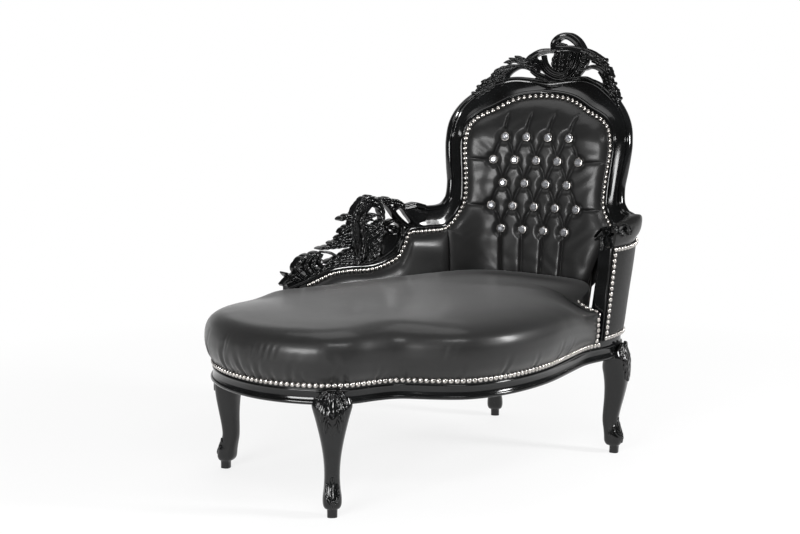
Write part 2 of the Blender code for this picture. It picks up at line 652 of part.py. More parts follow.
def cushion_rings(inset):
    """Rings of the cushion from its skirt up, drawn in by the inset."""
    (x1, y1), (x2, y2) = in_plan(SPINE_SHARES)
    spine_start, spine = np.array((x1, y1)), np.array((x2 - x1, y2 - y1))
    edge_x, edge_y = FREE_EDGE_END_SHARES[0] * SEAT_LENGTH, FREE_EDGE_END_SHARES[1] * SEAT_DEPTH
    rings = []
    for bulge, level, inward, across, upward in CUSHION_RING_SHARES:
        ring = []
        for mark in CUSHION_LOOP.marks[:-1]:
            x, y = CUSHION_LOOP.at(mark)
            free = (x < edge_x and y < edge_y) or x < -edge_x
            swell = bulge if free or bulge < 0 else 0.0
            edge = CUSHION_LOOP.at(mark, swell * SEAT_BULGE - across * inset)
            share = np.clip(np.dot(edge - spine_start, spine) / np.dot(spine, spine), 0.0, 1.0)
            x, y = edge + (spine_start + spine * share - edge) * inward
            ring.append((x, y, RAIL_TOP + GAP + level * SEAT_CROWN - upward * inset))
        rings.append(ring)
    return rings


def make_cushion():
    outer, inner, foam = (cushion_rings(inset) for inset in (0.0, LEATHER, LEATHER + SOFT_GAP))
    shapes = {"seat_cover": (inner[::-1] + outer, "leather"), "seat_foam": (foam[::-1], "foam")}
    for name, (rings, finish_name) in shapes.items():
        mesh = skin(rings)
        sides = [face for face in mesh.faces if len(face.verts) == 4]
        bmesh.ops.triangulate(mesh, faces=sides, quad_method="FIXED")
        piece(name, mesh, finish_name)


# Wall pieces

def flat(points_in_rings):
    return WALL.bend(skin(points_in_rings))


def rung(row, distance):
    """The place at this distance from a row's nail line, towards its outer edge."""
    inner, outer = np.array(row[:2]), np.array(row[2:])
    return tuple(inner + (outer - inner) / np.linalg.norm(outer - inner) * distance)


def beyond(row, distance):
    """The place at this distance past a row's outer edge."""
    return rung(row, math.dist(row[:2], row[2:]) + distance)


def ribbon(rows, section):
    """A strip along a ladder. Each point of its section is a distance, a share of the rest and a distance out."""
    rings = []
    for row in rows:
        width = math.dist(row[:2], row[2:])
        places = [(*rung(row, distance + share * (width - distance)), out) for distance, share, out in section]
        rings.append([(along, out, height) for along, height, out in places])
    return flat(rings)


def show_rail(rows):
    """A moulded rail between the nail line and the outer edge, with a rabbet behind the nails."""
    section = [(-NAIL_MARGIN, 0.0, FRAME_REAR), (-NAIL_MARGIN, 0.0, 0.0), (RABBET, 0.0, 0.0)]
    section += [(RABBET, across, -front * FRAME_FRONT) for across, front in SHOW_RAIL_SHARES]
    section += [(RABBET, 1.0, FRAME_EDGE_BACK), (RABBET, 1.0, FRAME_REAR)]
    return ribbon(rows, section)


def between(rows, start, end, distance):
    """The rows of a ladder between two places along, with a new row at each, taken at this distance across."""
    places = [rung(row, distance)[0] for row in rows]
    inside = [row for row, place in zip(rows, places) if start + SOFT_GAP < place < end - SOFT_GAP]
    ends = [tuple(np.interp(place, places, [row[i] for row in rows]) for i in range(4)) for place in (start, end)]
    return [ends[0], *inside, ends[1]]


def line_at(rows, distance):
    return [rung(row, distance) for row in rows]


def ladder(rows, start, end):
    """Rows of a ladder from one row number to another, which may lie between rows."""
    curve = smooth(rows, LADDER_STEPS)
    count = int(round((end - start) * 2)) + 1
    places = np.linspace(start, end, count) * LADDER_STEPS
    index = np.arange(len(curve))
    return [tuple(np.interp(place, index, curve[:, axis]) for axis in range(4)) for place in places]


def post(start, end, low, high):
    return WALL.bend(plate(box_outline(start, end, low, high), [], CORE_FRONT, CORE_REAR))


def clear_line(line):
    """A line without the points that lie on the straight between their neighbours."""
    kept = [line[0]]
    for point, after in zip(line[1:], line[2:]):
        if distance_to(np.array(point), (kept[-1], after)) > GAP and math.dist(point, kept[-1]) > SOFT_GAP:
            kept.append(point)
    return kept + [line[-1]]


def make_back_frame():
    """The arched top rail and the two stiles. It gives their ladders, which the covers and nails follow."""
    half = {side: on_back(FRAME_LADDER_SHARES, side) for side in (-1, 1)}
    joint = STILE_JOINT_ROW + JOINT_ROWS
    rows = {
        "left": ladder(half[-1], joint, len(half[-1]) - 1),
        "right": ladder(half[1], joint, RIGHT_STILE_ROWS - 1),
        "arch": ladder(half[-1], 0, STILE_JOINT_ROW)[:0:-1] + ladder(half[1], 0, STILE_JOINT_ROW),
    }
    piece("back_top_rail", show_rail(rows["arch"]), "black_lacquer")
    for side, name in ((-1, "left"), (1, "right")):
        stile = piece(f"back_{name}_stile", show_rail(rows[name]), "black_lacquer")
        ends = sorted((BACK_CENTRE + side * POST_INNER, BACK_CENTRE + side * POST_OUTER))
        joined(stile, piece(f"back_{name}_stile_foot", post(*ends, WALL_FOOT, POST_HEAD), "black_lacquer"))
    ends = (BACK_CENTRE - POST_INNER + GAP, BACK_CENTRE + SLOT_START)
    piece("back_bottom_rail", post(*ends, BOTTOM_RAIL_LOW, BOTTOM_RAIL_HIGH), "beech")
    make_crest(rows["arch"])
    return rows


def make_crest(arch):
    """The carved crest on top of the frame, with its openings."""
    left, right = (on_back(CREST_SHARES, side) for side in (-1, 1))
    lower = [beyond(row, SOFT_GAP) for row in arch]
    lower = [point for point in lower if left[0][0] < point[0] < right[0][0]]
    openings = [on_back(opening, side) for opening in CREST_OPENING_SHARES for side in (-1, 1)]
    openings.append(on_back(CREST_EYE_SHARES))
    mesh = plate(lower + right + left[-2::-1], openings, CREST_FRONT, CREST_REAR)
    piece("crest_carving", WALL.bend(mesh), "black_lacquer")


def make_back_panels(rows):
    def outline(distance, foot, limit):
        path = rows["right"][::-1] + rows["arch"][::-1] + rows["left"]
        line = [(min(max(along, BACK_CENTRE - limit), BACK_CENTRE + limit), height)
                for along, height in line_at(path, distance)]
        return [(line[-1][0], foot), (line[0][0], foot)] + clear_line(line)

    board = outline(-(NAIL_MARGIN + SOFT_GAP), BOTTOM_RAIL_HIGH + GAP, SLOT_START)
    piece("back_board", WALL.bend(plate(board, [], BOARD_FRONT, BOARD_REAR)), "board")
    piece("back_foam", WALL.bend(plate(board, [], CORE_FRONT, BOARD_FRONT - GAP)), "foam")
    cover = outline(RABBET * 2, WALL_FOOT + GAP, POST_OUTER)
    inner = BACK_CENTRE + SLOT_START
    cover = [cover[0], (inner, WALL_FOOT + GAP), (inner, SLOT_TOP), (cover[1][0], SLOT_TOP)] + cover[2:]
    front = FRAME_REAR + GAP
    piece("back_outer_cover", WALL.bend(plate(cover, [], front, front + BACK_COVER_THICKNESS)), "leather")


# Tufted cover

def row_pitch_across(height):
    middle = FIRST_ROW_HEIGHT - 2 * ROW_PITCH
    return COLUMN_PITCH + (middle - height) * FAN_SHARE


def button_places():
    """Row and column number, and the place along and up, of each button."""
    places = []
    for row, count in enumerate(BUTTON_ROWS):
        height = FIRST_ROW_HEIGHT - row * ROW_PITCH
        pitch = row_pitch_across(height)
        for column in range(count):
            places.append((row + 1, column + 1, BACK_CENTRE + (column - (count - 1) / 2) * pitch, height))
    return places


def pleats():
    """The lines sewn into the cover: the sides of the diamonds, and the folds that run out to the nails."""
    buttons = button_places()
    lines = []
    for i, (row, column, along, height) in enumerate(buttons):
        for other_row, _, other_along, other_height in buttons[i + 1:]:
            if other_row == row + 1 and abs(other_along - along) < COLUMN_PITCH * NEIGHBOUR_SHARE:
                lines.append(((along, height), (other_along, other_height)))
        if row == 1:
            lines.append(((along, height), (along, height + 2 * ROW_PITCH)))
        if row == len(BUTTON_ROWS):
            lines.append(((along, height), (along, height - 2 * ROW_PITCH)))
        if BUTTON_ROWS[row - 1] > BUTTON_ROWS[0] and column in (1, BUTTON_ROWS[row - 1]):
            lines.append(((along, height), (along + math.copysign(2 * COLUMN_PITCH, along - BACK_CENTRE), height)))
    return lines


def distance_to(point, line):
    start, end = (np.array(place) for place in line)
    share = np.clip(np.dot(point - start, end - start) / max(np.dot(end - start, end - start), MERGE ** 2), 0.0, 1.0)
    return np.linalg.norm(start + (end - start) * share - point)


def tufted_rise(along, height, edge, buttons, lines):
    """How far the cover stands out towards the sitter, this far from its nearest edge."""
    if edge <= 0.0:
        return LEATHER
    rise = BACK_PUFF * (1.0 - math.exp(-edge / EDGE_SOFTNESS))
    near = min(distance_to(np.array((along, height)), line) for line in lines)
    rise -= PLEAT_DEPTH * math.exp(-(near / PLEAT_WIDTH) ** 2)
    button = min(math.dist((along, height), place[2:]) for place in buttons)
    rise -= TUFT_DEPTH * math.exp(-(button / TUFT_RADIUS) ** 2)
    return max(rise, LEATHER)


def side_seam():
    return BACK_CENTRE - BACK_HALF_WIDTH * SEAM_SHARE


class CoverEdge:
    """The tufted cover's edge: along the nail line, and lower down the seam with the side's pad and the slot."""

    def __init__(self, rows):
        arch = rows["arch"]
        half = len(arch) // 2
        self.nails = line_at(rows["right"][::-1] + arch[::-1] + rows["left"], 0.0)
        self.sides = {side: np.array(line_at(ladder_rows, COVER_EDGE)) for side, ladder_rows in (
            (1, rows["right"][::-1] + arch[:half:-1]), (-1, rows["left"][::-1] + arch[:half]))}
        self.corner = FIRST_ROW_HEIGHT + ROW_PITCH * CORNER_SHARE
        self.top = np.array([point for point in line_at(arch, COVER_EDGE) if point[1] > self.corner])

    def half_width(self, side, height):
        line = self.sides[side]
        width = np.interp(height, line[:, 1], abs(line[:, 0] - BACK_CENTRE))
        if side < 0:
            return min(width, BACK_CENTRE - side_seam())
        return min(width, SLOT_START + max(height - SLOT_TOP, 0.0) * SLOT_SPREAD_SHARE)

    def to_nails(self, along, height):
        point = np.array((along, height))
        return min(distance_to(point, pair) for pair in zip(self.nails, self.nails[1:]))

    def inside(self, along, height):
        """How far a place lies inside the strip under the nails."""
        left, right = (self.half_width(side, height) for side in (-1, 1))
        return min(self.to_nails(along, height) + COVER_EDGE - COVER_MARGIN, along - BACK_CENTRE + left,
                   BACK_CENTRE + right - along)

    def row_offsets(self, height):
        """Places across from the middle: quarters of a button's pitch, then wider steps to the edges."""
        quarter = row_pitch_across(height) / 4
        inner = 2 * max(BUTTON_ROWS) - 2
        offsets = [column * quarter for column in range(-inner, inner + 1)]
        for side in (-1, 1):
            reach = self.half_width(side, height)
            outer = list(np.linspace(inner * quarter, reach - COVER_MARGIN, OUTER_COLUMNS + 1)[1:]) + [reach]
            offsets = offsets + outer if side > 0 else [-value for value in outer[::-1]] + offsets
        return offsets


def cover_grid(edge):
    """The grid's places: level rows up to the first buttons, then rows that lift to meet the arch."""
    step_height = ROW_PITCH / STEPS_PER_ROW
    tufted = [FIRST_ROW_HEIGHT - step * step_height for step in range(TUFTED_STEPS, -1, -1)]
    plain = list(np.arange(PAD_FOOT, tufted[0] - PLAIN_STEP_SHARE * ROW_PITCH, 2 * step_height))
    grid = [[(BACK_CENTRE + offset, height) for offset in edge.row_offsets(height)] for height in plain + tufted]
    last = grid[-1]
    spread = {side: edge.half_width(side, edge.corner) / edge.half_width(side, FIRST_ROW_HEIGHT) for side in (-1, 1)}
    arch = []
    for along, _ in last:
        offset = along - BACK_CENTRE
        across = BACK_CENTRE + offset * spread[1 if offset > 0 else -1]
        arch.append((across, np.interp(across, edge.top[:, 0], edge.top[:, 1], edge.corner, edge.corner)))
    ahead = unit(np.gradient(np.array(arch), axis=0))
    under = [(along + move[1] * COVER_MARGIN, height - move[0] * COVER_MARGIN)
             for (along, height), move in zip(arch, ahead)]
    low = edge.corner - COVER_MARGIN
    under[0], under[-1] = ((BACK_CENTRE + side * edge.half_width(side, low), low) for side in (-1, 1))
    steps = int((arch[len(arch) // 2][1] - FIRST_ROW_HEIGHT) / step_height)
    for share in np.arange(1, steps + 1) / steps:
        grid.append([(x1 + (x2 - x1) * share, z1 + (z2 - z1) * share) for (x1, z1), (x2, z2) in zip(last, under)])
    return grid + [arch]


def make_tufted_cover(rows):
    """The cover over the foam, drawn as a grid whose points meet the buttons, with a flat margin under the nails."""
    buttons, lines = button_places(), pleats()
    edge = CoverEdge(rows)
    mesh = bmesh.new()
    places = cover_grid(edge)
    nailed = np.array([[edge.to_nails(*place) < COVER_MARGIN - NAIL_MARGIN for place in row] for row in places])
    grid = []
    for i, row in enumerate(places):
        verts = []
        for j, (along, height) in enumerate(row):
            by_nails = nailed[max(i - 1, 0):i + 2, max(j - 1, 0):j + 2].any()
            inside = 0.0 if by_nails else edge.inside(along, height)
            verts.append(mesh.verts.new((along, -tufted_rise(along, height, inside, buttons, lines), height)))
        grid.append(verts)
    margin = []
    for row, (low, high) in enumerate(zip(grid, grid[1:])):
        for column in range(len(low) - 1):
            face = mesh.faces.new((low[column], low[column + 1], high[column + 1], high[column]))
            if column in (0, len(low) - 2) or row == len(grid) - 2 or nailed[row:row + 2, column:column + 2].any():
                margin.append(face)
    puffed = [face for face in mesh.faces if face not in margin]
    bmesh.ops.triangulate(mesh, faces=puffed, quad_method="FIXED")
    surface = BVHTree.FromBMesh(mesh)
    rim = [mesh.edges.get(pair) for pair in boundary_pairs(grid)]
    grown = bmesh.ops.extrude_edge_only(mesh, edges=rim)["geom"]
    for vert in (part for part in grown if isinstance(part, bmesh.types.BMVert)):
        vert.co.y = -GAP
    sides = [part for part in grown if isinstance(part, bmesh.types.BMFace)]
    back = bmesh.ops.triangle_fill(mesh, edges=[line for line in mesh.edges if line.is_boundary], use_beauty=True)
    back = [part for part in back["geom"] if isinstance(part, bmesh.types.BMFace)]
    inner = [line for line in mesh.edges if all(face in back for face in line.link_faces)]
    bmesh.ops.dissolve_limit(mesh, angle_limit=FLAT_ANGLE, verts=[], edges=inner)
    back = [face for face in mesh.faces if all(abs(vert.co.y + GAP) < MERGE for vert in face.verts)]
    piece("back_tufted_cover", WALL.bend(mesh, margin + sides + back), "leather")
    for row, column, along, height in buttons:
        make_button(f"back_button_{row}_{column}", along, height, surface)


def boundary_pairs(grid):
    """Neighbouring points round the edge of a grid."""
    ring = list(grid[0]) + [row[-1] for row in grid[1:]] + list(grid[-1][-2::-1]) + [row[0] for row in grid[-2:0:-1]]
    return list(zip(ring, ring[1:] + ring[:1]))


def make_button(name, along, height, surface):
    """A domed button that rests on the cover's dimple."""
    turns = np.arange(BUTTON_SIDES) / BUTTON_SIDES * math.tau
    places = [(along, height)]
    for share in (0.5, 1.0):
        places += [(along + BUTTON_RADIUS * share * math.cos(turn), height + BUTTON_RADIUS * share * math.sin(turn))
                   for turn in turns]
    seat = max(-surface.ray_cast((x, -HEIGHT, z), (0, 1, 0))[0].y for x, z in places)
    rings = []
    for radius_share, rise_share in BUTTON_RING_SHARES:
        radius, out = BUTTON_RADIUS * radius_share, -(seat + SOFT_GAP + BUTTON_HEIGHT * rise_share)
        rings.append([WALL.at(along + radius * math.cos(turn), out, height + radius * math.sin(turn))
                      for turn in turns])
    piece(name, skin(rings), "crystal")


# Low side

def make_side(left_rows):
    """The low side's rail, carving and panels. It gives the ladder from the foot end to the back's left stile."""
    rows = on_wall(SIDE_LADDER_SHARES)
    x1, z1, x2, z2 = left_rows[-1]
    steps = ladder(rows + [(x1 - SOFT_GAP, z1, x2 - SOFT_GAP, z2)], 0, len(rows))
    rail = piece("side_show_rail", show_rail(steps), "black_lacquer")
    start = rows[0][0]
    foot = post(start + GAP, start + SIDE_POST_WIDTH, WALL_FOOT, rows[0][3] - 2 * GAP)
    joined(rail, piece("side_show_rail_foot", foot, "black_lacquer"))
    make_side_carving(steps)
    line = steps[:-1] + left_rows[::-1]
    make_side_panels(line)
    return line


def make_side_carving(steps):
    outline = on_wall(SIDE_CARVING_SHARES)
    lower = [beyond(row, SOFT_GAP) for row in steps]
    lower = [point for point in lower if outline[0][0] < point[0] < outline[-1][0]]
    openings = [on_wall(opening) for opening in SIDE_OPENING_SHARES]
    mesh = plate(lower + outline[::-1], openings, -CARVING_FRONT, CARVING_REAR)
    piece("side_carving", WALL.bend(mesh), "black_lacquer")


def pad_under(name, rows, puff):
    """A soft pad on the wall, from its foot up to a flat margin under the nails of a ladder."""
    rings = []
    for number, row in enumerate(rows):
        thickness = puff * (PAD_END_SHARE if number in (0, len(rows) - 1) else 1.0)
        along, head = rung(row, -NAIL_EDGE)
        edge, top = rung(row, NAIL_MARGIN - GAP)
        ring = [(along, -GAP, PAD_FOOT)]
        for level, rise in PAD_PROFILE_SHARES:
            ring.append((along, -LEATHER - rise * thickness, PAD_FOOT + (head - PAD_FOOT) * level))
        rings.append(ring + [(along, -LEATHER, head), (edge, -LEATHER, top), (edge, -GAP, top)])
    piece(name, flat(rings), "leather")


def make_side_panels(line):
    start, seam = line[0][0] + SIDE_POST_WIDTH + SOFT_GAP, side_seam() - SOFT_GAP
    pad_under("side_pad", between(line, start, seam, -NAIL_EDGE), SIDE_PUFF)
    board_end = BACK_CENTRE - POST_OUTER - SOFT_GAP
    margin = -(NAIL_MARGIN + SOFT_GAP)
    board = [(start, WALL_FOOT), (board_end, WALL_FOOT)]
    board += clear_line(line_at(between(line, start, board_end, margin), margin)[::-1])
    piece("side_board", WALL.bend(plate(board, [], BOARD_FRONT, BOARD_REAR)), "board")
    cover_start, front = line[0][0] + SOFT_GAP, FRAME_REAR + GAP
    cover = [(cover_start, WALL_FOOT), (board_end, WALL_FOOT)]
    cover += clear_line(line_at(between(line, cover_start, board_end, NAIL_MARGIN), NAIL_MARGIN)[::-1])
    piece("side_outer_cover", WALL.bend(plate(cover, [], front, front + BACK_COVER_THICKNESS)), "leather")


# Arm

def make_arm(right_rows):
    """The arm's rail, stump, pads and outer cover. It gives the outline of the cover."""
    x1, z1, x2, z2 = right_rows[-1]
    rows = [(x1 + SOFT_GAP, z1 - SOFT_GAP, x2 + SOFT_GAP, z2 - SOFT_GAP)] + on_wall(ARM_LADDER_SHARES)
    steps = ladder(rows, 0, len(rows) - 1)
    piece("arm_show_rail", show_rail(steps), "black_lacquer")
    underside = line_at(steps, -NAIL_MARGIN)
    make_stump(min(height for along, height in underside if along > ARM_END - 2 * STUMP_HALF) - SOFT_GAP)
    make_arm_pad(steps)
    start, end = BACK_CENTRE + POST_OUTER + SOFT_GAP, ARM_END - STUMP_HALF - SOFT_GAP
    below = [(along, height - NAIL_MARGIN, along, height) for along, height in underside]
    pad_under("arm_inner_pad", between(below, start, end, 0.0), ARM_PUFF)
    head = line_at(between(steps, start, ARM_END, 2 * NAIL_MARGIN), 2 * NAIL_MARGIN)[::-1]
    cover = [(start, WALL_FOOT + GAP), (ARM_END, WALL_FOOT + GAP)] + clear_line(head)
    front = FRAME_REAR + GAP
    piece("arm_outer_cover", WALL.bend(plate(cover, [], front, front + BACK_COVER_THICKNESS)), "leather")
    return cover


STUMP_HALF = FRAME_REAR * STUMP_RING_SHARES[-1][1]


def make_stump(head):
    rings = []
    for level, half_width, inner, outer in STUMP_RING_SHARES:
        half = half_width * FRAME_REAR
        height = WALL_FOOT + level * (head - WALL_FOOT)
        corners = [(-1, inner), (1, inner), (1, outer), (-1, outer)]
        rings.append([(ARM_END + side * half, out * FRAME_REAR, height) for side, out in corners])
    piece("arm_stump", flat(rings), "black_lacquer")


def make_arm_pad(steps):
    """A short padded roll on top of the arm's show rail."""
    upper = [row for row in steps if row[0] > ARM_END - ARM_PAD_LENGTH]
    middle = (FRAME_REAR + FRAME_EDGE_BACK) / 2 - BEAD_OUT
    rings = []
    for number, row in enumerate(upper):
        along, height = beyond(row, SOFT_GAP)
        swell = math.sqrt(math.sin(math.pi * (number + 0.5) / len(upper)))
        turns = np.arange(PAD_SIDES + 1) / PAD_SIDES * math.pi
        rings.append([(along, middle + math.cos(turn) * PAD_HALF_WIDTH * (1 + swell) / 2,
                       height + math.sin(turn) * PAD_RISE * swell) for turn in turns])
    piece("arm_pad", flat(rings), "leather")


# Nails

def trim_along(name, rows, face, towards):
    """A strip of nail heads along the nail line of a ladder, on the face at this distance out."""
    section = [(across * NAIL_SIZE, 0.0, face + towards * (GAP + rise * NAIL_RISE)) for across, rise in NAIL_SHARES]
    piece(name, ribbon(rows, section), "nickel")


def make_trims(rows, side_line, arm_cover):
    start = side_line[0][0] + SIDE_POST_WIDTH + NAIL_EDGE
    side = between(side_line, start, side_seam(), 0.0)[:1] + [row for row in side_line if row[0] > start + SOFT_GAP]
    trim_along("back_nail_trim", side + rows["arch"][1:-1] + rows["right"], -LEATHER, -1)
    (start, foot), (end, _) = arm_cover[:2]
    head = [(along, height - NAIL_EDGE) for along, height in arm_cover[2:]]
    head = [point for point in head if start + NAIL_SIZE < point[0] < end - NAIL_SIZE]
    corner = (end - NAIL_EDGE, head[0][1])
    corners = [(start + NAIL_EDGE, foot + NAIL_EDGE), (end - NAIL_EDGE, foot + NAIL_EDGE), corner] + head
    path = []
    for first, second in zip(corners, corners[1:]):
        count = max(int(math.dist(first, second) / (4 * NAIL_SIZE)), 1)
        path += [tuple(np.array(first) + (np.array(second) - first) * step / count) for step in range(count)]
    path.append(corners[-1])
    ahead = unit(np.gradient(np.array(path), axis=0))
    frame = [(x, z, x + move[1] * NAIL_SIZE, z - move[0] * NAIL_SIZE) for (x, z), move in zip(path, ahead)]
    trim_along("arm_nail_trim", frame, FRAME_REAR + GAP + BACK_COVER_THICKNESS, 1)
    make_seat_trim()


def make_seat_trim():
    """The folded lower edge of the seat's leather in the rails' step, with the nail heads along it."""
    low, high = RAIL_TOP - STEP_HEIGHT + GAP, RAIL_TOP - GAP
    section = [(-STEP_DEPTH + GAP, low)]
    section += [(rise * NAIL_RISE, low + (across + 0.5) * NAIL_SIZE) for across, rise in NAIL_SHARES]
    section += [(-STEP_DEPTH / 2, high), (-STEP_DEPTH + GAP, high)]
    start = RAIL_LOOP.nearest(in_plan([TRIM_START_SHARES])[0])
    end = RAIL_LOOP.nearest(WALL.at(ARM_END + STUMP_HALF, FRAME_REAR, WALL_FOOT).xy)
    piece("seat_nail_trim", swept_on_rails(section, start, end), "nickel")


def stand_on_origin():
    """Moves the chaise so that the middle of its underside is the origin."""
    bpy.context.view_layer.update()
    corners = [made.matrix_world @ Vector(corner) for made in bpy.context.scene.objects
               if made.type == "MESH" and not made.hide_render for corner in made.bound_box]
    low = [min(corner[axis] for corner in corners) for axis in range(3)]
    high = [max(corner[axis] for corner in corners) for axis in range(3)]
    CHAISE.location = (-(low[0] + high[0]) / 2, -(low[1] + high[1]) / 2, -low[2])


for leftover in list(bpy.data.objects):
    bpy.data.objects.remove(leftover)
CHAISE = bpy.data.objects.new("chaise", None)
bpy.context.scene.collection.objects.link(CHAISE)

make_seat_frame()
make_webbing()
make_cushion()
BACK_ROWS = make_back_frame()
make_back_panels(BACK_ROWS)
make_tufted_cover(BACK_ROWS)
SIDE_LINE = make_side(BACK_ROWS["left"])
ARM_COVER = make_arm(BACK_ROWS["right"])
make_trims(BACK_ROWS, SIDE_LINE, ARM_COVER)
stand_on_origin()
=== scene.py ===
"""A chaise longue dressed for show: lacquered carved frame, leather covers, domed nails and crystal buttons.

The low side, the tall back and the arm stand on one curved wall, so their pieces are laid out flat, as a distance
along the wall, a distance out from it and a height, and then take their place on it. Metres, Z up.
"""

import math

import bpy
import numpy as np
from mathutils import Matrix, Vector


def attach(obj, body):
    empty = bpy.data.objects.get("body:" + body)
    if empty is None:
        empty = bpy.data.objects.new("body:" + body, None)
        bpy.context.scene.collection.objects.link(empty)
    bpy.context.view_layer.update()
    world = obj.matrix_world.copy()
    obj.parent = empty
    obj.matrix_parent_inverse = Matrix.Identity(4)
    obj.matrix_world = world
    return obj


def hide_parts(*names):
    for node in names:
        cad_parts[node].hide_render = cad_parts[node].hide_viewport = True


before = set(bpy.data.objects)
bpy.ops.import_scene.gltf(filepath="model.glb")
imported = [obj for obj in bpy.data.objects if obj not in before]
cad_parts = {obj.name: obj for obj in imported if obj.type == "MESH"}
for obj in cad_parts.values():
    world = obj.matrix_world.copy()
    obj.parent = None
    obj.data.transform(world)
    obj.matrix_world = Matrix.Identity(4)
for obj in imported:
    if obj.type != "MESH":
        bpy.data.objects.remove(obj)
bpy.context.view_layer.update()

# Overall sizes, as the solids have them
SEAT_LENGTH = 1.180
SEAT_DEPTH = 0.751
HEIGHT = 1.200
PLAN_MIDDLE = np.array((-0.03131, 0.05723))
LEG_HEIGHT = 0.288
RAIL_TOP = 0.345
SEAT_CROWN = 0.145
SEAT_BULGE = 0.020
KNEE_WIDTH = 0.106
LEG_SQUARENESS = 0.72
BACK_HALF_WIDTH = 0.273
BACK_CENTRE = 1.0167
NAIL_MARGIN = 0.0070
RABBET = 0.0078
FRAME_REAR = 0.024
PAD_FOOT = 0.400
SLOT_START = 0.205
SLOT_TOP = 0.470
SIDE_POST_WIDTH = 0.038
POST_INNER = 0.2285
POST_OUTER = 0.254
POST_FACES = (0.002, 0.022)
POST_HEAD = 0.738
LEG_SPAN_SHARE = 0.41525
LEG_DEPTH_SHARE = 0.3542
ARM_END = 1.5184
ARM_TIP = 1.5386
ARM_PAD_ENDS = (0.2546, 0.0208)
ARM_COVER_DROP = 0.016
GAP = 0.0006
COVER_REST = -0.0002

# Wall line
WALL_FOOT = 0.3453
WALL_RISE = 0.655
WALL_MEASURE_SHARE = 0.40
ROLL_START = 0.880
ROLL_OUT = 0.120
ROLL_SOFT_SHARE = 0.15

# Working fineness: how near places meet to be sewn, rounds of easing, steps in metres, and counts
SEWN = 0.00002
CURVE_STEPS = 24
PLAN_EASING = 60
OUTWARD_EASING = 40
LADDER_EASING = 30
FREEDOM_EASING = 200
WALL_STEP = 0.002
RAIL_STEP = 0.008
PAD_STEP = 0.0035
PANEL_STEP = 0.006
LEG_SIDES = 56
STUMP_SIDES = 40
RING_STEPS = 10
SEAT_MARKS = 760
SEAT_ROWS = 120
BACK_COLUMNS = 281
BACK_ROW_STEP = 0.0020
BACK_ARCH_ROWS = 65
SNAIL_STEPS = 15
CARVED_COLUMNS = 13

# Angles up to which a piece is shaded smooth
SHARP_ANGLE = math.radians(38)
SOFT_ANGLE = math.radians(70)
CARVED_ANGLE = math.radians(50)
NAIL_ANGLE = math.radians(60)
FACET_ANGLE = math.radians(12)

# Nails and buttons
NAIL_SINK = 0.0004
NAIL_RADIUS = 0.0071
NAIL_RISE = 0.0046
NAIL_PITCH = 0.0152
BUTTON_RADIUS = 0.0132
BUTTON_ROWS = (4, 5, 4, 5, 4)
COLUMN_PITCH = 0.067
ROW_PITCH = 0.070
FIRST_ROW_HEIGHT = 0.889

# Tufted back, pads and covers
FAN_SHARE = 0.028
SEAM_SHARE = 1.045
COVER_EDGE = 0.0064
BACK_PUFF = 0.034
CREASE_DEPTH = 0.029
PAD_HALF = 0.037
PAD_ROUNDNESS = 0.72
PIT_INNER = 0.007
PIT_OUTER = 0.031
PLEAT_ARCH = 0.55
PLEAT_BLEND = 5
LEATHER_THICKNESS = 0.003
REAR_SHARES = (0.0, 0.04, 0.25, 0.6, 1.0)

# Seat: its crown is a skin blown up inside the outline of its widest ring. Where one form fades into the next is given
# by ring numbers, or by lengths round the cushion's edge.
CROWN_STEP = 0.012
CROWN_ROUNDS = 3500
CROWN_FILL = 1.8
CROWN_POWER = 0.28
WIDEST_RING = 5
BLOWN_RINGS = (WIDEST_RING + 1.5, WIDEST_RING + 5.5)
WALLED_RINGS = (WIDEST_RING - 0.5, WIDEST_RING + 2.5)
WALLED_FADE = (WIDEST_RING + 2.5, WIDEST_RING + 9)
WALLED_LEVEL = 0.99
FOLD_FADE = (9.0, 11.0)
CORNER_PLACE = (0.3110, -0.4105)
CORNER_RUN = 0.078
CORNER_DROP = 0.40
CORNER_REACH = 0.105
FOOT_HALF = 1.60
PRESS_START = (1.22, 1.36)
PRESS = 0.016
SPINE_STEPS = 80

# Camera, floor and lamps, each lamp with its place, target, size and power
FLOOR_WHITE = 0.80
CAMERA_PLACE = (-2.456557, -3.113650, 1.16546)
CAMERA_TILT = 0.152126
CAMERA_TURN = 0.636207
LENS = 65.25
SENSOR = 36.0
LAMPS = [
    ("overhead_softbox", (0.0, 0.5, 3.1), (0.0, 0.0, 0.4), (1.6, 1.6), 18),
    ("far_softbox", (1.5, 2.6, 2.2), (-0.2, 0.0, 0.45), (2.4, 1.2), 8),
    ("left_softbox", (-3.4, -1.3, 1.25), (-0.1, 0.0, 0.45), (1.7, 1.0), 115),
    ("right_softbox", (2.4, -3.0, 2.1), (0.3, 0.1, 0.8), (0.6, 1.3), 160),
    ("top_front_softbox", (-1.4, -2.9, 3.3), (0.2, 0.0, 0.7), (1.7, 0.7), 45),
]

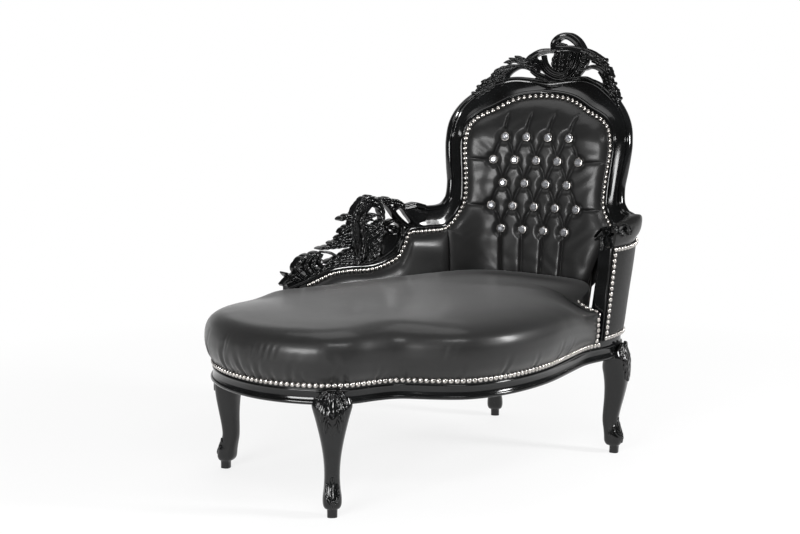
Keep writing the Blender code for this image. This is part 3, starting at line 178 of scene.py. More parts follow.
# Plan of the rails' outer face and of the cushion, anticlockwise from the front foot-end leg, and of the wall line at
# its foot and higher up: shares of the seat's length and depth
RAIL_PLAN = [
    (-0.441, -0.333), (-0.381, -0.389), (-0.326, -0.399), (-0.271, -0.423), (-0.220, -0.499), (-0.153, -0.575),
    (-0.051, -0.593), (0.068, -0.557), (0.175, -0.486), (0.271, -0.419), (0.334, -0.406), (0.381, -0.390),
    (0.432, -0.357), (0.464, -0.290), (0.473, -0.173), (0.464, -0.040), (0.453, 0.080), (0.444, 0.200),
    (0.414, 0.330), (0.339, 0.391), (0.237, 0.406), (0.085, 0.407), (-0.085, 0.407), (-0.237, 0.402),
    (-0.339, 0.386), (-0.407, 0.349), (-0.466, 0.280), (-0.508, 0.173), (-0.527, 0.040), (-0.521, -0.107),
    (-0.492, -0.226),
]
CUSHION_PLAN = [
    (-0.441, -0.333), (-0.381, -0.389), (-0.326, -0.399), (-0.271, -0.423), (-0.220, -0.499), (-0.153, -0.575),
    (-0.051, -0.593), (0.068, -0.557), (0.175, -0.486), (0.250, -0.432), (0.293, -0.413), (0.3185, -0.409),
    (0.3195, -0.385), (0.3140, -0.348), (0.326, -0.308), (0.373, -0.273), (0.400, -0.200), (0.402, -0.093),
    (0.385, 0.013), (0.364, 0.120), (0.338, 0.212), (0.292, 0.276), (0.224, 0.306), (0.085, 0.313),
    (-0.085, 0.313), (-0.212, 0.310), (-0.285, 0.328), (-0.344, 0.368), (-0.407, 0.344), (-0.466, 0.280),
    (-0.508, 0.173), (-0.527, 0.040), (-0.521, -0.107), (-0.492, -0.226),
]
CUSHION_SPINE = [(-0.345, -0.040), (0.270, -0.010)]
FREE_EDGE_END = (0.296, -0.300)
WALL_FOOT_PLAN = [
    (-0.356, 0.368), (-0.254, 0.373), (-0.127, 0.377), (0.000, 0.378), (0.127, 0.378), (0.229, 0.374),
    (0.305, 0.354), (0.363, 0.296), (0.395, 0.202), (0.415, 0.107), (0.433, 0.007), (0.447, -0.093),
    (0.456, -0.186), (0.449, -0.273), (0.419, -0.329), (0.381, -0.360), (0.339, -0.383), (0.305, -0.396),
]
WALL_HEAD_PLAN = [
    (-0.356, 0.379), (-0.254, 0.389), (-0.127, 0.395), (0.000, 0.399), (0.127, 0.402), (0.229, 0.407),
    (0.314, 0.415), (0.374, 0.344), (0.422, 0.242), (0.462, 0.132), (0.497, 0.019), (0.529, -0.095),
    (0.555, -0.200), (0.551, -0.273), (0.517, -0.329), (0.449, -0.386), (0.398, -0.399), (0.363, -0.408),
]

# Cushion rings from the leather's folded edge up: share of the bulge, of the crown's height and of the way to the
# spine
CUSHION_RINGS = [
    (-0.150, -0.128, 0.00), (-0.120, -0.060, 0.00), (0.080, 0.010, 0.00), (0.650, 0.140, 0.00), (0.980, 0.300, 0.00),
    (1.020, 0.430, 0.00), (0.850, 0.580, 0.00), (0.350, 0.710, 0.00), (-0.350, 0.810, 0.02), (-0.800, 0.880, 0.08),
    (-0.900, 0.925, 0.18), (-0.800, 0.960, 0.34), (-0.700, 0.983, 0.55), (-0.600, 0.996, 0.80), (-0.600, 1.000, 1.000),
]

# Pull marks in the seat's leather: length round the cushion's edge, reach up the side in rings, depth and lean
SEAT_FOLDS = [
    (-0.455, 2.0, 0.0016, 0.004), (-0.400, 2.6, 0.0024, 0.003), (-0.382, 1.6, 0.0018, 0.000),
    (-0.300, 2.8, 0.0026, 0.004), (-0.262, 1.5, 0.0014, 0.002), (-0.205, 2.6, 0.0022, -0.003),
    (-0.185, 1.6, 0.0018, 0.003), (-0.160, 2.2, 0.0024, 0.002), (-0.118, 1.4, 0.0016, 0.000),
    (-0.080, 2.6, 0.0022, 0.006), (-0.030, 1.6, 0.0018, -0.003), (0.030, 2.0, 0.0018, 0.004),
    (0.085, 2.8, 0.0024, -0.008), (0.150, 1.5, 0.0014, 0.003), (0.240, 2.0, 0.0016, -0.005),
    (0.360, 1.5, 0.0012, 0.003), (0.480, 1.9, 0.0014, 0.004), (0.610, 1.4, 0.0012, -0.002),
    (0.720, 1.8, 0.0014, 0.002), (0.790, 1.5, 0.0012, 0.003),
]

# Short ripples half way up the seat's side: length round the cushion's edge and depth
SEAT_RIPPLES = [(-0.275, 0.0016), (-0.262, 0.0010), (-0.176, 0.0010), (-0.158, 0.0014), (-0.139, 0.0015),
                (-0.121, 0.0013), (-0.104, 0.0009), (-0.375, 0.0012), (0.330, 0.0007), (0.352, 0.0008)]
RIPPLE_RING = 5.1

# Leg rings from the knee's top to the floor: height over the leg's height, then the middle's offset outwards, half
# the depth and half the width over the knee's width
LEG_RINGS = [
    (1.060, -0.060, 0.180, 0.430), (1.000, -0.052, 0.237, 0.480), (0.950, -0.085, 0.315, 0.458),
    (0.880, -0.088, 0.340, 0.405), (0.800, -0.065, 0.325, 0.350), (0.690, -0.060, 0.295, 0.283),
    (0.555, -0.090, 0.260, 0.222), (0.435, -0.130, 0.232, 0.193), (0.330, -0.148, 0.214, 0.188),
    (0.245, -0.100, 0.220, 0.203), (0.180, -0.052, 0.238, 0.226), (0.120, -0.034, 0.238, 0.226),
    (0.085, -0.024, 0.190, 0.190), (0.070, 0.000, 0.128, 0.130), (0.000, 0.000, 0.122, 0.122),
]

# The long ladder from the foot end of the low side, up the back, over it and down to the arm's stump. Each row gives
# a point of the nail line and its partner on the outer edge. Low side and arm: shares of the wall's length and of
# the height. Back: half of it from the middle of the top down, as shares of its half width and of the height.
SIDE_LADDER = [
    (0.0958, 0.3900, 0.0958, 0.4150), (0.1278, 0.4000, 0.1246, 0.4267), (0.1489, 0.4075, 0.1438, 0.4367),
    (0.1719, 0.4167, 0.1674, 0.4458), (0.1962, 0.4250, 0.1930, 0.4508), (0.2339, 0.4267, 0.2339, 0.4525),
    (0.2792, 0.4242, 0.2792, 0.4508), (0.3131, 0.4317, 0.3086, 0.4567), (0.3323, 0.4400, 0.3246, 0.4633),
    (0.3463, 0.4483, 0.3361, 0.4725), (0.3553, 0.4633, 0.3425, 0.4858), (0.3636, 0.4817, 0.3502, 0.5000),
    (0.3706, 0.5017, 0.3578, 0.5142), (0.3808, 0.5067, 0.3783, 0.5200), (0.4089, 0.5063, 0.4064, 0.5692),
    (0.4300, 0.5063, 0.4230, 0.5692),
]
BACK_LADDER = [
    (0.000, 0.843, 0.000, 0.882), (0.165, 0.840, 0.183, 0.888), (0.286, 0.833, 0.348, 0.890),
    (0.385, 0.821, 0.495, 0.879), (0.480, 0.807, 0.604, 0.862), (0.579, 0.796, 0.703, 0.844),
    (0.674, 0.782, 0.795, 0.822), (0.744, 0.763, 0.879, 0.796), (0.784, 0.738, 0.952, 0.765),
    (0.799, 0.713, 0.993, 0.733), (0.799, 0.679, 1.000, 0.696), (0.795, 0.650, 0.996, 0.658),
    (0.795, 0.621, 0.989, 0.625), (0.808, 0.583, 1.011, 0.593), (0.842, 0.562, 1.044, 0.581),
    (0.897, 0.544, 1.084, 0.573), (0.952, 0.530, 1.136, 0.570), (1.033, 0.514, 1.190, 0.569),
    (1.110, 0.507, 1.245, 0.569),
]
ARM_LADDER = [
    (0.8480, 0.5210, 0.8750, 0.5640), (0.8820, 0.5150, 0.9000, 0.5560), (0.9200, 0.5120, 0.9290, 0.5480),
    (0.9500, 0.5110, 0.9540, 0.5430), (0.9740, 0.5110, 0.9760, 0.5410),
]
SIDE_END = 16
ARCH_START = 24.5
ARCH_END = 43.5
ARM_START = 50
LADDER_END = 55

# The show frame across, from behind the nails round the moulded face to its rear: share of the way from the nails to
# the outer edge, an offset towards that edge, and the distance out from the wall
SHOW_SECTION = [
    (0.00, -0.0148, 0.0240), (0.00, -0.0148, 0.0004), (0.00, 0.0000, 0.0004), (0.00, 0.0000, -0.0058),
    (0.00, 0.0014, -0.0088), (0.00, 0.0045, -0.0103), (0.00, 0.0078, -0.0094), (0.00, 0.0098, -0.0070),
    (0.00, 0.0104, -0.0052), (0.22, 0.0050, -0.0030), (0.40, 0.0000, -0.0016), (0.60, 0.0000, -0.0006),
    (1.00, -0.0158, -0.0002), (1.00, -0.0150, -0.0012), (1.00, -0.0141, -0.0030), (1.00, -0.0118, -0.0038),
    (1.00, -0.0096, -0.0024), (1.00, -0.0089, 0.0006), (1.00, -0.0082, 0.0014), (1.00, -0.0074, -0.0008),
    (1.00, -0.0048, -0.0014), (1.00, -0.0022, 0.0004), (1.00, -0.0008, 0.0038), (1.00, 0.0000, 0.0080),
    (1.00, 0.0000, 0.0140), (1.00, -0.0012, 0.0200), (1.00, -0.0040, 0.0240),
]

# The seat rail across, from its inner bottom edge round its face: distance out and height
RAIL_SECTION = [
    (-0.0280, 0.2880), (0.0020, 0.2880), (0.0044, 0.2888), (0.0060, 0.2908), (0.0064, 0.2935), (0.0060, 0.2962),
    (0.0046, 0.2982), (0.0026, 0.2990), (0.0012, 0.2993), (0.0008, 0.3002), (-0.0004, 0.3030), (-0.0012, 0.3070),
    (-0.0012, 0.3120), (-0.0004, 0.3165), (0.0002, 0.3196), (0.0010, 0.3206), (0.0016, 0.3222), (0.0012, 0.3240),
    (0.0002, 0.3250), (-0.0035, 0.3252), (-0.0035, 0.3450), (-0.0280, 0.3450),
]

# The arm's stump: height over its height, then half its width along the wall and its inner and outer side, over the
# frame's rear. The arm's roll across: distance out and rise over the rail's top, round a middle, with the side that
# hangs over the cover.
STUMP_RINGS = [(0.00, 0.80, -1.00, 0.86), (0.30, 0.80, -1.00, 0.86), (0.60, 0.80, -1.04, 0.88),
               (0.80, 0.82, -1.08, 0.90), (0.93, 0.84, -1.18, 0.92), (1.00, 0.84, -1.20, 0.92)]
ROLL_SECTION = [(-0.014, 0.000), (0.006, 0.000), (0.0249, 0.000), (0.0249, -0.012), (0.0249, -0.030),
                (0.031, -0.036), (0.037, -0.030), (0.041, -0.014), (0.040, 0.004), (0.034, 0.016), (0.023, 0.022),
                (0.008, 0.023), (-0.008, 0.018), (-0.016, 0.009)]
ROLL_MIDDLE = 0.020
ROLL_SIDE = 0.0249
ROLL_LENGTH = 0.165
ROLL_OVERHANG = 0.006

LEGS = ("front_foot_end_leg", "front_head_end_leg", "rear_head_end_leg", "rear_foot_end_leg")
RAILS = ("front_seat_rail", "head_end_seat_rail", "rear_seat_rail", "foot_end_seat_rail")
POST_WIDTH = 0.110
HIDDEN_TIMBER = [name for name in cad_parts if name.endswith("_block") or name == "back_bottom_rail"]
HIDDEN_BOARDS = ("back_board", "side_board")


# Lines and surfaces

def smooth(points, steps, closed=False):
    """A curve through all the points, with this many steps from each to the next."""
    points = np.array(points, float)
    if closed:
        padded = np.vstack([points[-1:], points, points[:2]])
    else:
        padded = np.vstack([2 * points[0] - points[1], points, 2 * points[-1] - points[-2]])
    before, start, end, after = (padded[i:len(padded) - 3 + i, None] for i in range(4))
    t = (np.arange(steps) / steps)[None, :, None]
    curve = 0.5 * (2 * start + (end - before) * t + (2 * before - 5 * start + 4 * end - after) * t ** 2
                   + (3 * start - 3 * end + after - before) * t ** 3)
    curve = curve.reshape(-1, points.shape[1])
    return curve if closed else np.vstack([curve, points[-1:]])


def eased(curve, rounds, closed=False):
    """The same curve with its small kinks drawn out."""
    for _ in range(rounds):
        if closed:
            curve = (np.roll(curve, 1, axis=0) + 2 * curve + np.roll(curve, -1, axis=0)) / 4
        else:
            curve = np.vstack([curve[:1], (curve[:-2] + 2 * curve[1:-1] + curve[2:]) / 4, curve[-1:]])
    return curve


def lengths_along(points):
    return np.concatenate([[0.0], np.cumsum(np.linalg.norm(np.diff(points, axis=0), axis=1))])


def unit(vectors):
    return vectors / np.maximum(np.linalg.norm(vectors, axis=-1, keepdims=True), 1e-9)


def in_plan(shares):
    return np.array(shares) * (SEAT_LENGTH, SEAT_DEPTH) + PLAN_MIDDLE


def lerp(places, along, line):
    """A line of points read at these places along it."""
    return np.stack([np.interp(places, along, line[:, axis]) for axis in range(line.shape[1])], -1)


def clamped(values, low=0.0, high=1.0):
    return np.clip(values, low, high)


def soft_step(values, low, high):
    share = clamped((values - low) / (high - low))
    return share * share * (3 - 2 * share)


def bell(values, width):
    return np.exp(-(values / width) ** 2)


class Loop:
    """A closed plan line, anticlockwise, with the direction out of it."""

    def __init__(self, shares):
        curve = eased(smooth(in_plan(shares), CURVE_STEPS, closed=True), PLAN_EASING, closed=True)
        ahead = np.roll(curve, -1, axis=0) - np.roll(curve, 1, axis=0)
        outward = unit(np.stack([ahead[:, 1], -ahead[:, 0]], -1))
        self.points, self.outward = (np.vstack([line, line[:1]]) for line in (curve, outward))
        self.along = lengths_along(self.points)
        self.length = self.along[-1]

    def at(self, along, out=0.0):
        along = np.asarray(along) % self.length
        outward = unit(lerp(along, self.along, self.outward))
        return lerp(along, self.along, self.points) + outward * np.asarray(out)[..., None]

    def outward_at(self, along):
        return unit(lerp(np.asarray(along) % self.length, self.along, self.outward))

    def nearest(self, point):
        return self.along[np.argmin(np.linalg.norm(self.points - np.asarray(point), axis=1))]


class Wall:
    """The long curved wall. A place on it is along, out and height, each a number or an array."""

    def __init__(self):
        foot, head = (eased(smooth(in_plan(shares), CURVE_STEPS), PLAN_EASING)
                      for shares in (WALL_FOOT_PLAN, WALL_HEAD_PLAN))
        middle = foot + (head - foot) * WALL_MEASURE_SHARE
        ahead = unit(np.gradient(middle, axis=0))
        self.foot, self.lean = foot, head - foot
        self.along = lengths_along(middle)
        self.length = self.along[-1]
        self.outward = unit(eased(np.stack([-ahead[:, 1], ahead[:, 0]], -1), OUTWARD_EASING))

    def at(self, along, out, height):
        along, out, height = np.broadcast_arrays(*(np.asarray(value, float) for value in (along, out, height)))
        rise = np.maximum(height - ROLL_START, 0.0) / (HEIGHT - ROLL_START)
        roll = ROLL_OUT * rise ** 2 / (rise + ROLL_SOFT_SHARE)
        level = (height - WALL_FOOT) / WALL_RISE
        place = lerp(along, self.along, self.foot) + lerp(along, self.along, self.lean) * level[..., None]
        place = place + unit(lerp(along, self.along, self.outward)) * (roll + out)[..., None]
        return np.concatenate([place, height[..., None]], -1)

    def axes(self, along, out, height):
        """The directions along, up and towards the sitter at places on the wall."""
        right = unit(self.at(along + WALL_STEP, out, height) - self.at(along - WALL_STEP, out, height))
        up = unit(self.at(along, out, height + WALL_STEP) - self.at(along, out, height - WALL_STEP))
        front = unit(np.cross(right, up))
        return right, unit(np.cross(front, right)), front


RAIL_LOOP = Loop(RAIL_PLAN)
CUSHION_LOOP = Loop(CUSHION_PLAN)
WALL = Wall()


def on_back(rows, side=1):
    return [tuple(value * (BACK_HALF_WIDTH * side, HEIGHT)[i % 2] + (BACK_CENTRE, 0.0)[i % 2]
                  for i, value in enumerate(row)) for row in rows]


def on_wall(rows):
    return [tuple(value * (WALL.length, HEIGHT)[i % 2] for i, value in enumerate(row)) for row in rows]


class Ladder:
    """The long ladder, read at row numbers that may lie between rows."""

    def __init__(self):
        rows = on_wall(SIDE_LADDER) + on_back(BACK_LADDER[::-1], -1) + on_back(BACK_LADDER[1:-2]) + on_wall(ARM_LADDER)
        self.rows = eased(smooth(rows, CURVE_STEPS), LADDER_EASING)

    def at(self, numbers):
        return lerp(np.asarray(numbers) * CURVE_STEPS, np.arange(len(self.rows)), self.rows)

    def across(self, numbers, share, offset):
        """The place at a share of the way from the rabbet to the outer edge, moved on by an offset."""
        rows = self.at(numbers)[:, None]
        inner, outer = rows[..., :2], rows[..., 2:]
        width = np.linalg.norm(outer - inner, axis=-1, keepdims=True)
        share, offset = (np.atleast_1d(value)[None, :, None] for value in (share, offset))
        return inner + (outer - inner) / width * (RABBET + share * (width - RABBET) + offset)


LADDER = Ladder()
SIDE_START = SIDE_LADDER[0][0] * WALL.length


# Making pieces

def only(piece):
    """Selects this piece and nothing else."""
    if bpy.context.mode != "OBJECT":
        bpy.ops.object.mode_set(mode="OBJECT")
    bpy.ops.object.select_all(action="DESELECT")
    piece.select_set(True)
    bpy.context.view_layer.objects.active = piece


def added(make, **settings):
    """What an adding operator makes, selected alone."""
    bpy.ops.object.select_all(action="DESELECT")
    make(**settings)
    return bpy.context.object


def worked(*steps):
    """Runs mesh operators, each on the whole of the active piece."""
    bpy.ops.object.mode_set(mode="EDIT")
    for make, settings in steps:
        bpy.ops.mesh.select_all(action="SELECT")
        make(**settings)
    bpy.ops.object.mode_set(mode="OBJECT")


SEW = (bpy.ops.mesh.remove_doubles, {"threshold": SEWN})
CLOSE = (bpy.ops.mesh.fill_holes, {"sides": 0})
FACE_OUTWARDS = (bpy.ops.mesh.normals_make_consistent, {"inside": False})


def laid(name, rows, around=False, ends=True):
    """A grid laid on rows of places, sewn where places meet, closed round and at its ends."""
    rows = np.asarray(rows, float)
    if around:
        rows = np.concatenate([rows, rows[:, :1]], axis=1)
    piece = added(bpy.ops.mesh.primitive_grid_add, x_subdivisions=rows.shape[1] - 1, y_subdivisions=rows.shape[0] - 1)
    piece.name = piece.data.name = name
    piece.data.vertices.foreach_set("co", rows.ravel())
    worked(SEW, *((CLOSE, FACE_OUTWARDS) if ends else ()))
    return piece


def joined(name, pieces):
    """Joins pieces into one."""
    only(pieces[0])
    for piece in pieces:
        piece.select_set(True)
    bpy.ops.object.join()
    piece = bpy.context.object
    piece.name = piece.data.name = name
    return piece


def copied(name, model, axes_and_places):
    """One piece of many copies of a small model, each with its own right, up, front and place."""
    shape = np.array([vert.co for vert in model.data.vertices])
    faces = [tuple(face.vertices) for face in model.data.polygons]
    places, all_faces = [], []
    for right, up, front, place in axes_and_places:
        start = len(places) * len(shape)
        places.append(shape @ np.array([right, up, front]) + place)
        all_faces += [tuple(index + start for index in face) for face in faces]
    mesh = bpy.data.meshes.new(name)
    mesh.from_pydata(np.concatenate(places).tolist(), [], all_faces)
    slots = [face.material_index for face in model.data.polygons] * len(places)
    for material in model.data.materials:
        mesh.materials.append(material)
    mesh.polygons.foreach_set("material_index", slots)
    piece = bpy.data.objects.new(name, mesh)
    bpy.context.scene.collection.objects.link(piece)
    return piece


def dressed(piece, material, slot, *nodes, angle=SHARP_ANGLE, fill=None):
    """Gives a finished piece its material, shades it smooth, hangs it under the root and hides the nodes it stands
    for.
    """
    if not len(piece.data.materials):
        piece.data.materials.append(material)
    only(piece)
    bpy.ops.object.shade_smooth_by_angle(angle=angle)
    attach(piece, "root")
    if nodes:
        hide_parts(*nodes)
    return piece


# Finishes

class Value:
    """A value in a shader, on which Python's sums work."""

    def __init__(self, finish, socket):
        self.finish, self.socket = finish, socket

    def sum_with(self, operation, first, second):
        return self.finish.node("ShaderNodeMath", {"operation": operation}, {0: first, 1: second})

    def __add__(self, other):
        return self.sum_with("ADD", self, other)

    def __radd__(self, other):
        return self.sum_with("ADD", other, self)

    def __sub__(self, other):
        return self.sum_with("SUBTRACT", self, other)

    def __rsub__(self, other):
        return self.sum_with("SUBTRACT", other, self)

    def __mul__(self, other):
        return self.sum_with("MULTIPLY", self, other)

    def between(self, low, high):
        """From 0 at low to 1 at high, and held there."""
        return self.finish.node("ShaderNodeMapRange", {"clamp": True}, {0: self, 1: low, 2: high})

    def upside_down(self):
        return 1.0 - self

    def most(self, other):
        return self.sum_with("MAXIMUM", self, other)


class Finish:
    """A material or a world under construction."""

    def __init__(self, owner):
        owner.use_nodes = True
        self.owner, self.tree = owner, owner.node_tree
        self.tree.nodes.clear()

    def node(self, kind, settings=None, sockets=None, output=0):
        made = self.tree.nodes.new(kind)
        for key, value in (settings or {}).items():
            setattr(made, key, value)
        for key, value in (sockets or {}).items():
            if isinstance(value, Value):
                self.tree.links.new(value.socket, made.inputs[key])
            else:
                made.inputs[key].default_value = value
        return Value(self, made.outputs[output] if made.outputs else None)

    def place(self):
        return self.node("ShaderNodeTexCoord", output="Object")

    def noise(self, scale, detail=3.0, roughness=0.55, stretch=None):
        place = self.place()
        if stretch:
            place = self.node("ShaderNodeMapping", {}, {"Vector": place, "Scale": stretch})
        return self.node("ShaderNodeTexNoise", {}, {"Vector": place, "Scale": scale, "Detail": detail,
                                                   "Roughness": roughness})

    def ray(self, kind):
        return self.node("ShaderNodeLightPath", output=f"Is {kind} Ray")

    def seen(self):
        """1 for what the camera sees, in a mirror or through glass too."""
        return self.ray("Camera").most(self.ray("Glossy")).most(self.ray("Transmission"))

    def blend(self, share, first, second):
        return self.node("ShaderNodeMix", {"data_type": "RGBA"}, {0: share, 6: first, 7: second}, output=2)

    def bump(self, height, strength, distance):
        return self.node("ShaderNodeBump", {}, {"Height": height, "Strength": strength, "Distance": distance})

    def surface(self, **sockets):
        shader = self.node("ShaderNodeBsdfPrincipled", {}, {key.replace("_", " "): value
                                                            for key, value in sockets.items()})
        self.node("ShaderNodeOutputMaterial", {}, {"Surface": shader})
        return self.owner


def grey(level, warmth=0.0):
    return (level * (1 + warmth), level, level * (1 - warmth), 1.0)


def finish_named(name):
    return Finish(bpy.data.materials.new(name))


def black_lacquer():
    finish = finish_named("black_lacquer")
    drift = finish.noise(9.0, 4.0)
    brushed = finish.noise(160.0, 3.0)
    dust = finish.noise(1400.0, 2.0)
    colour = finish.blend(drift.between(0.35, 0.70), grey(0.0030), grey(0.0065, -0.05))
    rough = 0.085 + brushed * 0.05 + drift.between(0.5, 0.8) * 0.06
    orange_peel = finish.bump(brushed * 0.7 + dust * 0.3, 0.10, 0.0006)
    return finish.surface(Base_Color=colour, Roughness=rough, Normal=orange_peel, Specular_IOR_Level=0.42,
                          Coat_Weight=0.0)


def leather(name="charcoal_leather", depth=1.0, gloss=0.26, shine=0.19, bloom=0.0):
    """Soft black leather: fine pebbled grain, a few broad creases and a worn, slightly paler bloom."""
    finish = finish_named(name)
    drift = finish.noise(5.0, 4.0)
    patches = finish.noise(42.0, 4.0, 0.6)
    bent = finish.node("ShaderNodeVectorMath", {"operation": "MULTIPLY_ADD"}, {
        0: finish.node("ShaderNodeTexNoise", {}, {"Vector": finish.place(), "Scale": 260.0}, output="Color"),
        1: (0.0011, 0.0011, 0.0011), 2: finish.place()})
    pebbles = finish.node("ShaderNodeTexVoronoi", {"feature": "DISTANCE_TO_EDGE"}, {"Vector": bent, "Scale": 620.0},
                          output="Distance")
    grain = pebbles.between(0.0, 0.18)
    # depth scales the leather's colour; where it is below 1, the copy is darkened as painted shade
    colour = finish.blend(drift.between(0.30, 0.72), grey(0.0095 * depth), grey(0.0150 * depth, 0.02))
    colour = finish.blend(grain, grey(0.0080 * depth), colour)
    rough = 0.43 + patches * 0.05 + drift.between(0.45, 0.75) * 0.03 - grain * 0.03
    relief = finish.bump(grain * 0.75 + patches * 0.25, 0.12, 0.0005)
    return finish.surface(Base_Color=colour, Roughness=rough, Normal=relief, Specular_IOR_Level=shine,
                          Coat_Weight=gloss, Coat_Roughness=0.22, Sheen_Weight=bloom, Sheen_Roughness=0.45)


def nickel():
    finish = finish_named("polished_nickel")
    tarnish = finish.noise(220.0, 3.0)
    spots = finish.noise(900.0, 2.0)
    colour = finish.blend(tarnish.between(0.38, 0.72), grey(0.54, 0.04), grey(0.30, 0.08))
    return finish.surface(Base_Color=colour, Metallic=1.0, Roughness=0.22 + tarnish * 0.10,
                          Normal=finish.bump(spots, 0.05, 0.0003))


def crystal():
    finish = finish_named("foiled_crystal")
    tint = finish.noise(300.0, 2.0)
    colour = finish.blend(tint.between(0.35, 0.65), (0.50, 0.50, 0.52, 1.0), (0.22, 0.23, 0.25, 1.0))
    return finish.surface(Base_Color=colour, Metallic=0.55, Roughness=0.10 + tint * 0.05, Specular_IOR_Level=0.9,
                          Normal=finish.bump(tint, 0.04, 0.0003))


def beech():
    """Beech stained dark, for the hidden frame."""
    finish = finish_named("stained_beech")
    rings = finish.noise(26.0, 6.0, 0.6, stretch=(1.0, 6.0, 14.0))
    pores = finish.noise(900.0, 2.0)
    colour = finish.blend(rings.between(0.35, 0.70), (0.060, 0.040, 0.026, 1.0), (0.110, 0.078, 0.052, 1.0))
    return finish.surface(Base_Color=colour, Roughness=0.55 + pores * 0.15,
                          Normal=finish.bump(rings * 0.6 + pores * 0.4, 0.20, 0.0008))


def board():
    """Fibre board coloured near black, for where it shows in the slot beside the arm."""
    finish = finish_named("near_black_fibre_board")
    chips = finish.noise(130.0, 5.0, 0.7)
    fibres = finish.noise(700.0, 3.0)
    colour = finish.blend(chips.between(0.3, 0.7), grey(0.010, 0.10), grey(0.022, 0.15))
    return finish.surface(Base_Color=colour, Roughness=0.75 + fibres * 0.1,
                          Normal=finish.bump(fibres * 0.5 + chips * 0.5, 0.25, 0.0006))


def woven(name, dark, pale, threads):
    """Webbing and lining: crossed threads with a little fluff."""
    finish = finish_named(name)
    place = finish.place()
    waves = []
    for direction in ("X", "Y"):
        waves.append(finish.node("ShaderNodeTexWave", {"wave_type": "BANDS", "bands_direction": direction}, {
            "Vector": place, "Scale": threads, "Distortion": 0.6, "Detail": 2.0}, output="Fac"))
    weave = waves[0] * waves[1]
    fluff = finish.noise(800.0, 3.0)
    colour = finish.blend(weave * 0.7 + fluff * 0.3, dark, pale)
    return finish.surface(Base_Color=colour, Roughness=0.82 + fluff * 0.12,
                          Normal=finish.bump(weave * 0.8 + fluff * 0.2, 0.35, 0.0008))


LACQUER = black_lacquer()
LEATHER = leather()
SEAT_LEATHER = leather("seat_leather", gloss=0.30, bloom=0.12)
# The outer panels' leather: the same leather with its colour at 0.7 as painted shade, and less glossy
PANEL_LEATHER_PAINTED_SHADE = leather("panel_leather_painted_shade", depth=0.7, gloss=0.08, shine=0.14)
NICKEL = nickel()
CRYSTAL = crystal()


# Frame

def show_rail(name, start, end, node):
    """A moulded length of the show frame, from one row of the ladder to another."""
    numbers = np.linspace(start, end, int((end - start) * 10) + 2)
    share, offset, out = np.array(SHOW_SECTION).T
    flat = LADDER.across(numbers, share, offset)
    rows = WALL.at(flat[..., 0], out[None, :], flat[..., 1])
    return dressed(laid(name, rows, around=True), LACQUER, "black_lacquer", node)


def post(name, start, end, high):
    """An upright behind the covers, which carries the frame."""
    along = np.linspace(start, end, 6)
    front, rear = POST_FACES
    ring = [(value, front) for value in along] + [(value, rear) for value in along[::-1]]
    along, out = np.array(ring).T
    heights = np.linspace(WALL_FOOT, high, 12)[:, None]
    piece = laid(name, WALL.at(along[None, :], out[None, :], heights), around=True)
    return dressed(piece, LACQUER, "black_lacquer")


def seat_rail(name, start, end):
    marks = np.linspace(start, end, int((end - start) / RAIL_STEP) + 2)
    out, height = np.array(RAIL_SECTION).T
    plan = RAIL_LOOP.at(marks[:, None], np.broadcast_to(out, (len(marks), len(out))))
    rows = np.concatenate([plan, np.broadcast_to(height[None, :, None], plan.shape[:2] + (1,))], -1)
    return laid(name, rows, around=True)


class Leg:
    """A cabriole leg: swelling at the knee and drawn in above the foot."""

    def __init__(self, foot, along):
        self.foot, self.reach = foot, RAIL_LOOP.at(along) - foot
        self.outward = RAIL_LOOP.outward_at(along)
        self.sideways = np.array([-self.outward[1], self.outward[0]])
        self.rings = eased(smooth(LEG_RINGS, 7), 2)

    def ring(self, level):
        """The middle in plan, and half the depth and width, at a share of the leg's height."""
        order = self.rings[::-1]
        offset, depth, width = lerp(np.minimum(level, LEG_RINGS[0][0]), order[:, 0], order[:, 1:]).T * KNEE_WIDTH
        share = np.minimum(level, 1.0)[..., None]
        return self.foot + self.reach * share + self.outward * offset.T[..., None], depth.T, width.T

    def shaft(self):
        turns = np.linspace(0, math.tau, LEG_SIDES, endpoint=False)
        across, deep = (np.sign(part) * np.abs(part) ** LEG_SQUARENESS for part in (np.cos(turns), np.sin(turns)))
        level = self.rings[:, 0]
        middle, depth, width = self.ring(level)
        plan = (middle[:, None] + self.sideways * (across[None, :] * width[:, None])[..., None]
                + self.outward * (deep[None, :] * depth[:, None])[..., None])
        height = np.broadcast_to((level * LEG_HEIGHT)[:, None, None], plan.shape[:2] + (1,))
        return np.concatenate([plan, height], -1)

    def on_front(self, across, relief, height):
        """A place on the leg's front, for carving: across, out from the surface, and height."""
        across, relief, height = np.broadcast_arrays(across, relief, height)
        middle, depth, width = self.ring(height / LEG_HEIGHT)
        share = clamped(np.abs(across) / width, 0, 0.96)
        deep = depth * (1 - share ** (2 / LEG_SQUARENESS)) ** (LEG_SQUARENESS / 2) + relief
        plan = middle + self.sideways * across[..., None] + self.outward * deep[..., None]
        return np.concatenate([plan, height[..., None]], -1)


